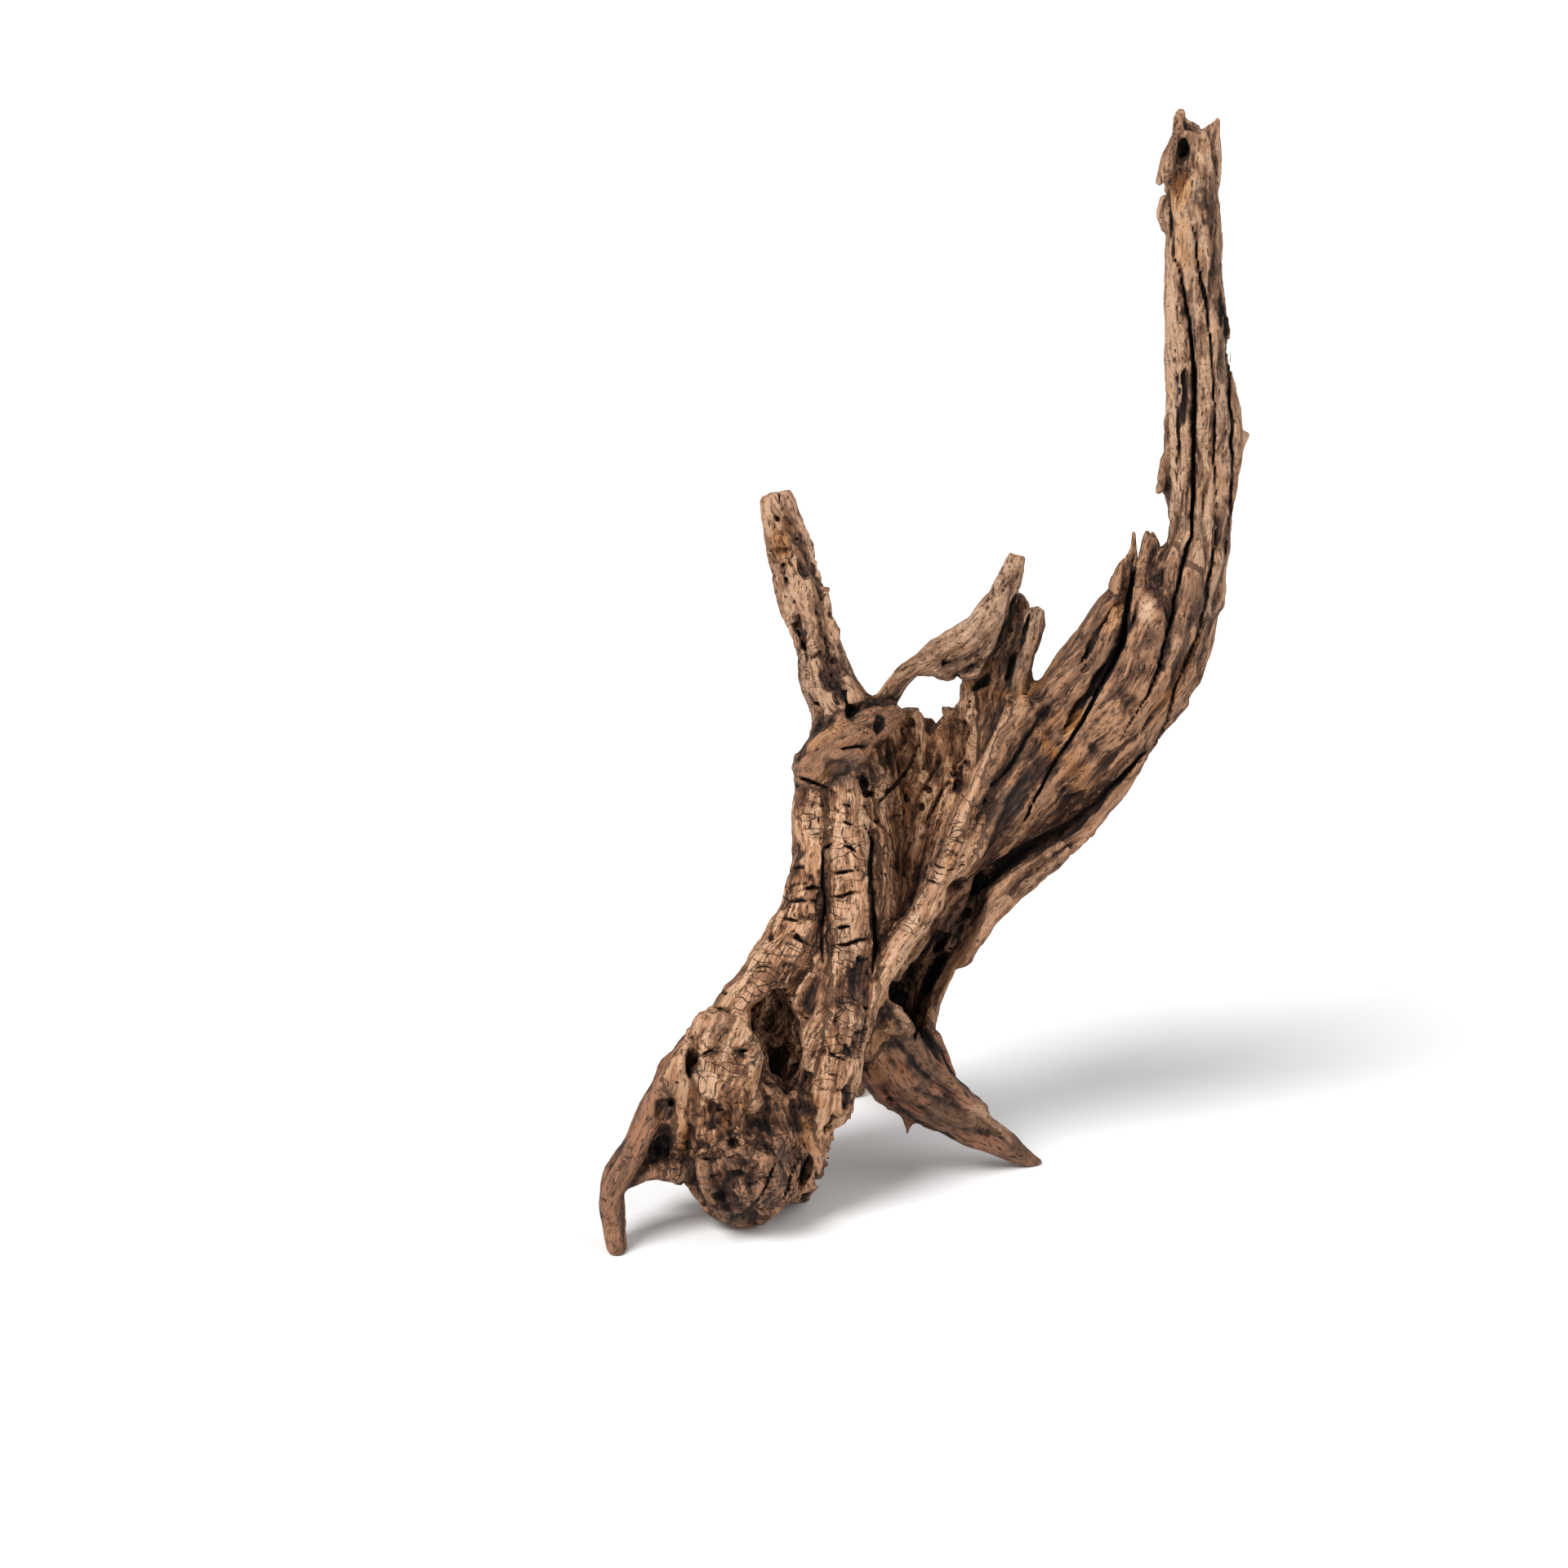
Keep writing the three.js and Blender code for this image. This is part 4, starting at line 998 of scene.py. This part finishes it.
cracked = put(weather, "ShaderNodeTexVoronoi", {"Vector": crossed, "Scale": 135.0}, feature="DISTANCE_TO_EDGE")
open_cracks = spread(weather, cracked.outputs["Distance"], 0.0, 0.05, 1.0, 0.0)
fibre_out = spread(weather, weighted(weather, (fibres, 0.6), (coarse_fibres, 0.4)), 0.37, 0.63)
scale_out = spread(weather, scales, 0.36, 0.64)
pore_out = spread(weather, pores, 0.42, 0.3)
patch_out = spread(weather, patches, 0.35, 0.65)
blotch_out = spread(weather, blotches, 0.35, 0.65)
check_out = times(weather, open_cracks, spread(weather, patches, 0.47, 0.56))
height = weighted(weather, (fibre_out, 0.45), (blotch_out, 0.35), (scale_out, 0.4), (pore_out, -0.4))
given_out = weather.nodes.new("NodeGroupOutput").inputs
for socket, value in zip(given_out, (fibre_out, pore_out, patch_out, blotch_out, check_out, height)):
    weather.links.new(value, socket)

# The wood's colours, with highlight and shade painted into them. Its tone runs from 0, dark and deep, to 1, pale and
# worn, and each kind of wood or stain has its colours over that range.
finish = bpy.data.materials.new("weathered_root_wood")
finish.use_nodes = True
tree = finish.node_tree
tree.nodes.clear()
on_wood = {name: put(tree, "ShaderNodeAttribute", attribute_name=name).outputs
           for name in ("grain", "shade_and_wear", "look", "streak", "dry", "stain")}
stain, shade_and_wear, look = (put(tree, "ShaderNodeSeparateXYZ", {0: on_wood[name]["Vector"]}).outputs
                     for name in ("stain", "shade_and_wear", "look"))
place = put(tree, "ShaderNodeTexCoord").outputs["Object"]
weathered = put(tree, "ShaderNodeGroup", node_tree=weather)
tree.links.new(on_wood["grain"]["Vector"], weathered.inputs["Grain"])
tree.links.new(place, weathered.inputs["Place"])
fibre, pore, patch, blotch, checked, height = weathered.outputs

streaks = spread(tree, on_wood["streak"]["Fac"], -0.9, 0.9)
tone = weighted(tree, (streaks, 0.24), (fibre, 0.3), (blotch, 0.22), (height, 0.36))
# Raised parts are painted lighter and sunken ones darker: painted highlight and painted shade.
tone = weighted(tree, (spread(tree, tone, 0.28, 0.9), 1.0), (shade_and_wear[1], 0.9), (0.54, -0.9))
tone = spread(tree, tone, 0.0, 1.0)
brown = ramp(tree, tone, (0.08, 12, 7, 5), (0.34, 38, 24, 18), (0.6, 68, 44, 33), (0.84, 112, 76, 54),
             (1.0, 168, 122, 88))
golden = ramp(tree, tone, (0.08, 20, 11, 8), (0.34, 70, 44, 31), (0.6, 122, 82, 56), (0.84, 184, 134, 98),
              (1.0, 228, 186, 150))
red = ramp(tree, tone, (0.08, 10, 5, 4), (0.38, 26, 15, 12), (0.64, 43, 26, 20), (0.86, 72, 42, 32),
           (1.0, 128, 80, 60))
grey = ramp(tree, tone, (0.08, 20, 15, 12), (0.34, 58, 45, 38), (0.6, 96, 77, 64), (0.84, 140, 115, 97),
            (1.0, 186, 158, 136))
charcoal = ramp(tree, tone, (0.1, 12, 9, 8), (0.6, 40, 32, 29), (1.0, 76, 60, 52))
amber = ramp(tree, tone, (0.1, 62, 34, 16), (0.6, 150, 94, 46), (1.0, 206, 150, 88))
bare = ramp(tree, tone, (0.1, 120, 82, 58), (0.6, 188, 142, 108), (1.0, 228, 192, 160))
charred = spread(tree, times(tree, patch, blotch), 0.5, 0.75, 0.0, 0.7)
ochre = spread(tree, weighted(tree, (blotch, 1.0), (patch, -1.0)), 0.35, 0.75, 0.0, 0.6)
# Raised edges are paler: partly wear rubbed into them, partly painted highlight.
worn_edge_highlight = spread(tree, shade_and_wear[1], 0.76, 1.0, 0.0, 0.35)
checks = times(tree, times(tree, checked, on_wood["dry"]["Fac"]), 1.3)
checks = spread(tree, checks, 0.0, 1.0)
shade = brown
for amount, over in (
    (look[0], golden), (look[1], red), (look[2], grey),
    (charred, linear(52, 42, 38)), (ochre, linear(156, 102, 54)),
    # Charred stains: charcoal patches, and painted shade where they lie over the rot hollows and the gap under the
    # toe.
    (stain[0], charcoal), (stain[1], amber), (stain[2], bare),
    (worn_edge_highlight, linear(184, 138, 106)), (times(tree, pore, 0.7), linear(26, 15, 10)), (checks, linear(20, 11, 8)),
    # Painted shade: darker in the wood's hollows, and nearly black inside its cracks and worm pits.
    (times(tree, shade_and_wear[0], 0.5), linear(36, 22, 16)), (times(tree, shade_and_wear[2], 0.92), linear(18, 10, 7)),
):
    shade = mixed(tree, amount, shade, over)
surface = weighted(tree, (height, 1.0), (checks, -0.8))
bump = put(tree, "ShaderNodeBump", {"Height": surface, "Strength": 1.0, "Distance": 0.002})
rough = spread(tree, fibre, 0.0, 1.0, 0.88, 0.62)
shader = put(tree, "ShaderNodeBsdfPrincipled", {
    "Base Color": shade, "Roughness": rough, "Normal": bump.outputs[0], "Specular IOR Level": 0.24})
put(tree, "ShaderNodeOutputMaterial", {"Surface": shader.outputs[0]})
mesh.materials.clear()
mesh.materials.append(finish)
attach(wood, "root")
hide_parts("driftwood")

# The wood stands on a plain pale floor in soft light, as in a studio: one broad lamp high on the left in front, a
# weaker one on the right, and a white room.
FLOOR_SIZE, FLOOR_GREY = 40, 0.93
bpy.ops.mesh.primitive_plane_add(size=FLOOR_SIZE, location=(0, 0, 0))
floor = bpy.context.object
floor.name = "floor"
paper = bpy.data.materials.new("pale_floor")
paper.use_nodes = True
paper_inputs = paper.node_tree.nodes["Principled BSDF"].inputs
paper_inputs["Base Color"].default_value = (FLOOR_GREY, FLOOR_GREY, FLOOR_GREY, 1)
paper_inputs["Roughness"].default_value = 0.9
floor.data.materials.append(paper)

LAMPS = [
    {"from": (-0.8, -0.9, 1.4), "strength": 3.0, "spread": 25},
    {"from": (1.1, -0.3, 1.0), "strength": 0.9, "spread": 60},
]
for number, lamp in enumerate(LAMPS):
    bpy.ops.object.light_add(type="SUN", location=lamp["from"])
    light = bpy.context.object
    light.name = f"lamp_{number}"
    light.data.energy = lamp["strength"]
    light.data.angle = math.radians(lamp["spread"])
    light.rotation_euler = Vector(lamp["from"]).to_track_quat("Z", "Y").to_euler()
room = bpy.data.worlds.new("white_room")
room.use_nodes = True
room_inputs = room.node_tree.nodes["Background"].inputs
room_inputs["Color"].default_value = (1, 1, 1, 1)
room_inputs["Strength"].default_value = 0.45
bpy.context.scene.world = room
bpy.context.scene.view_settings.view_transform = "Standard"
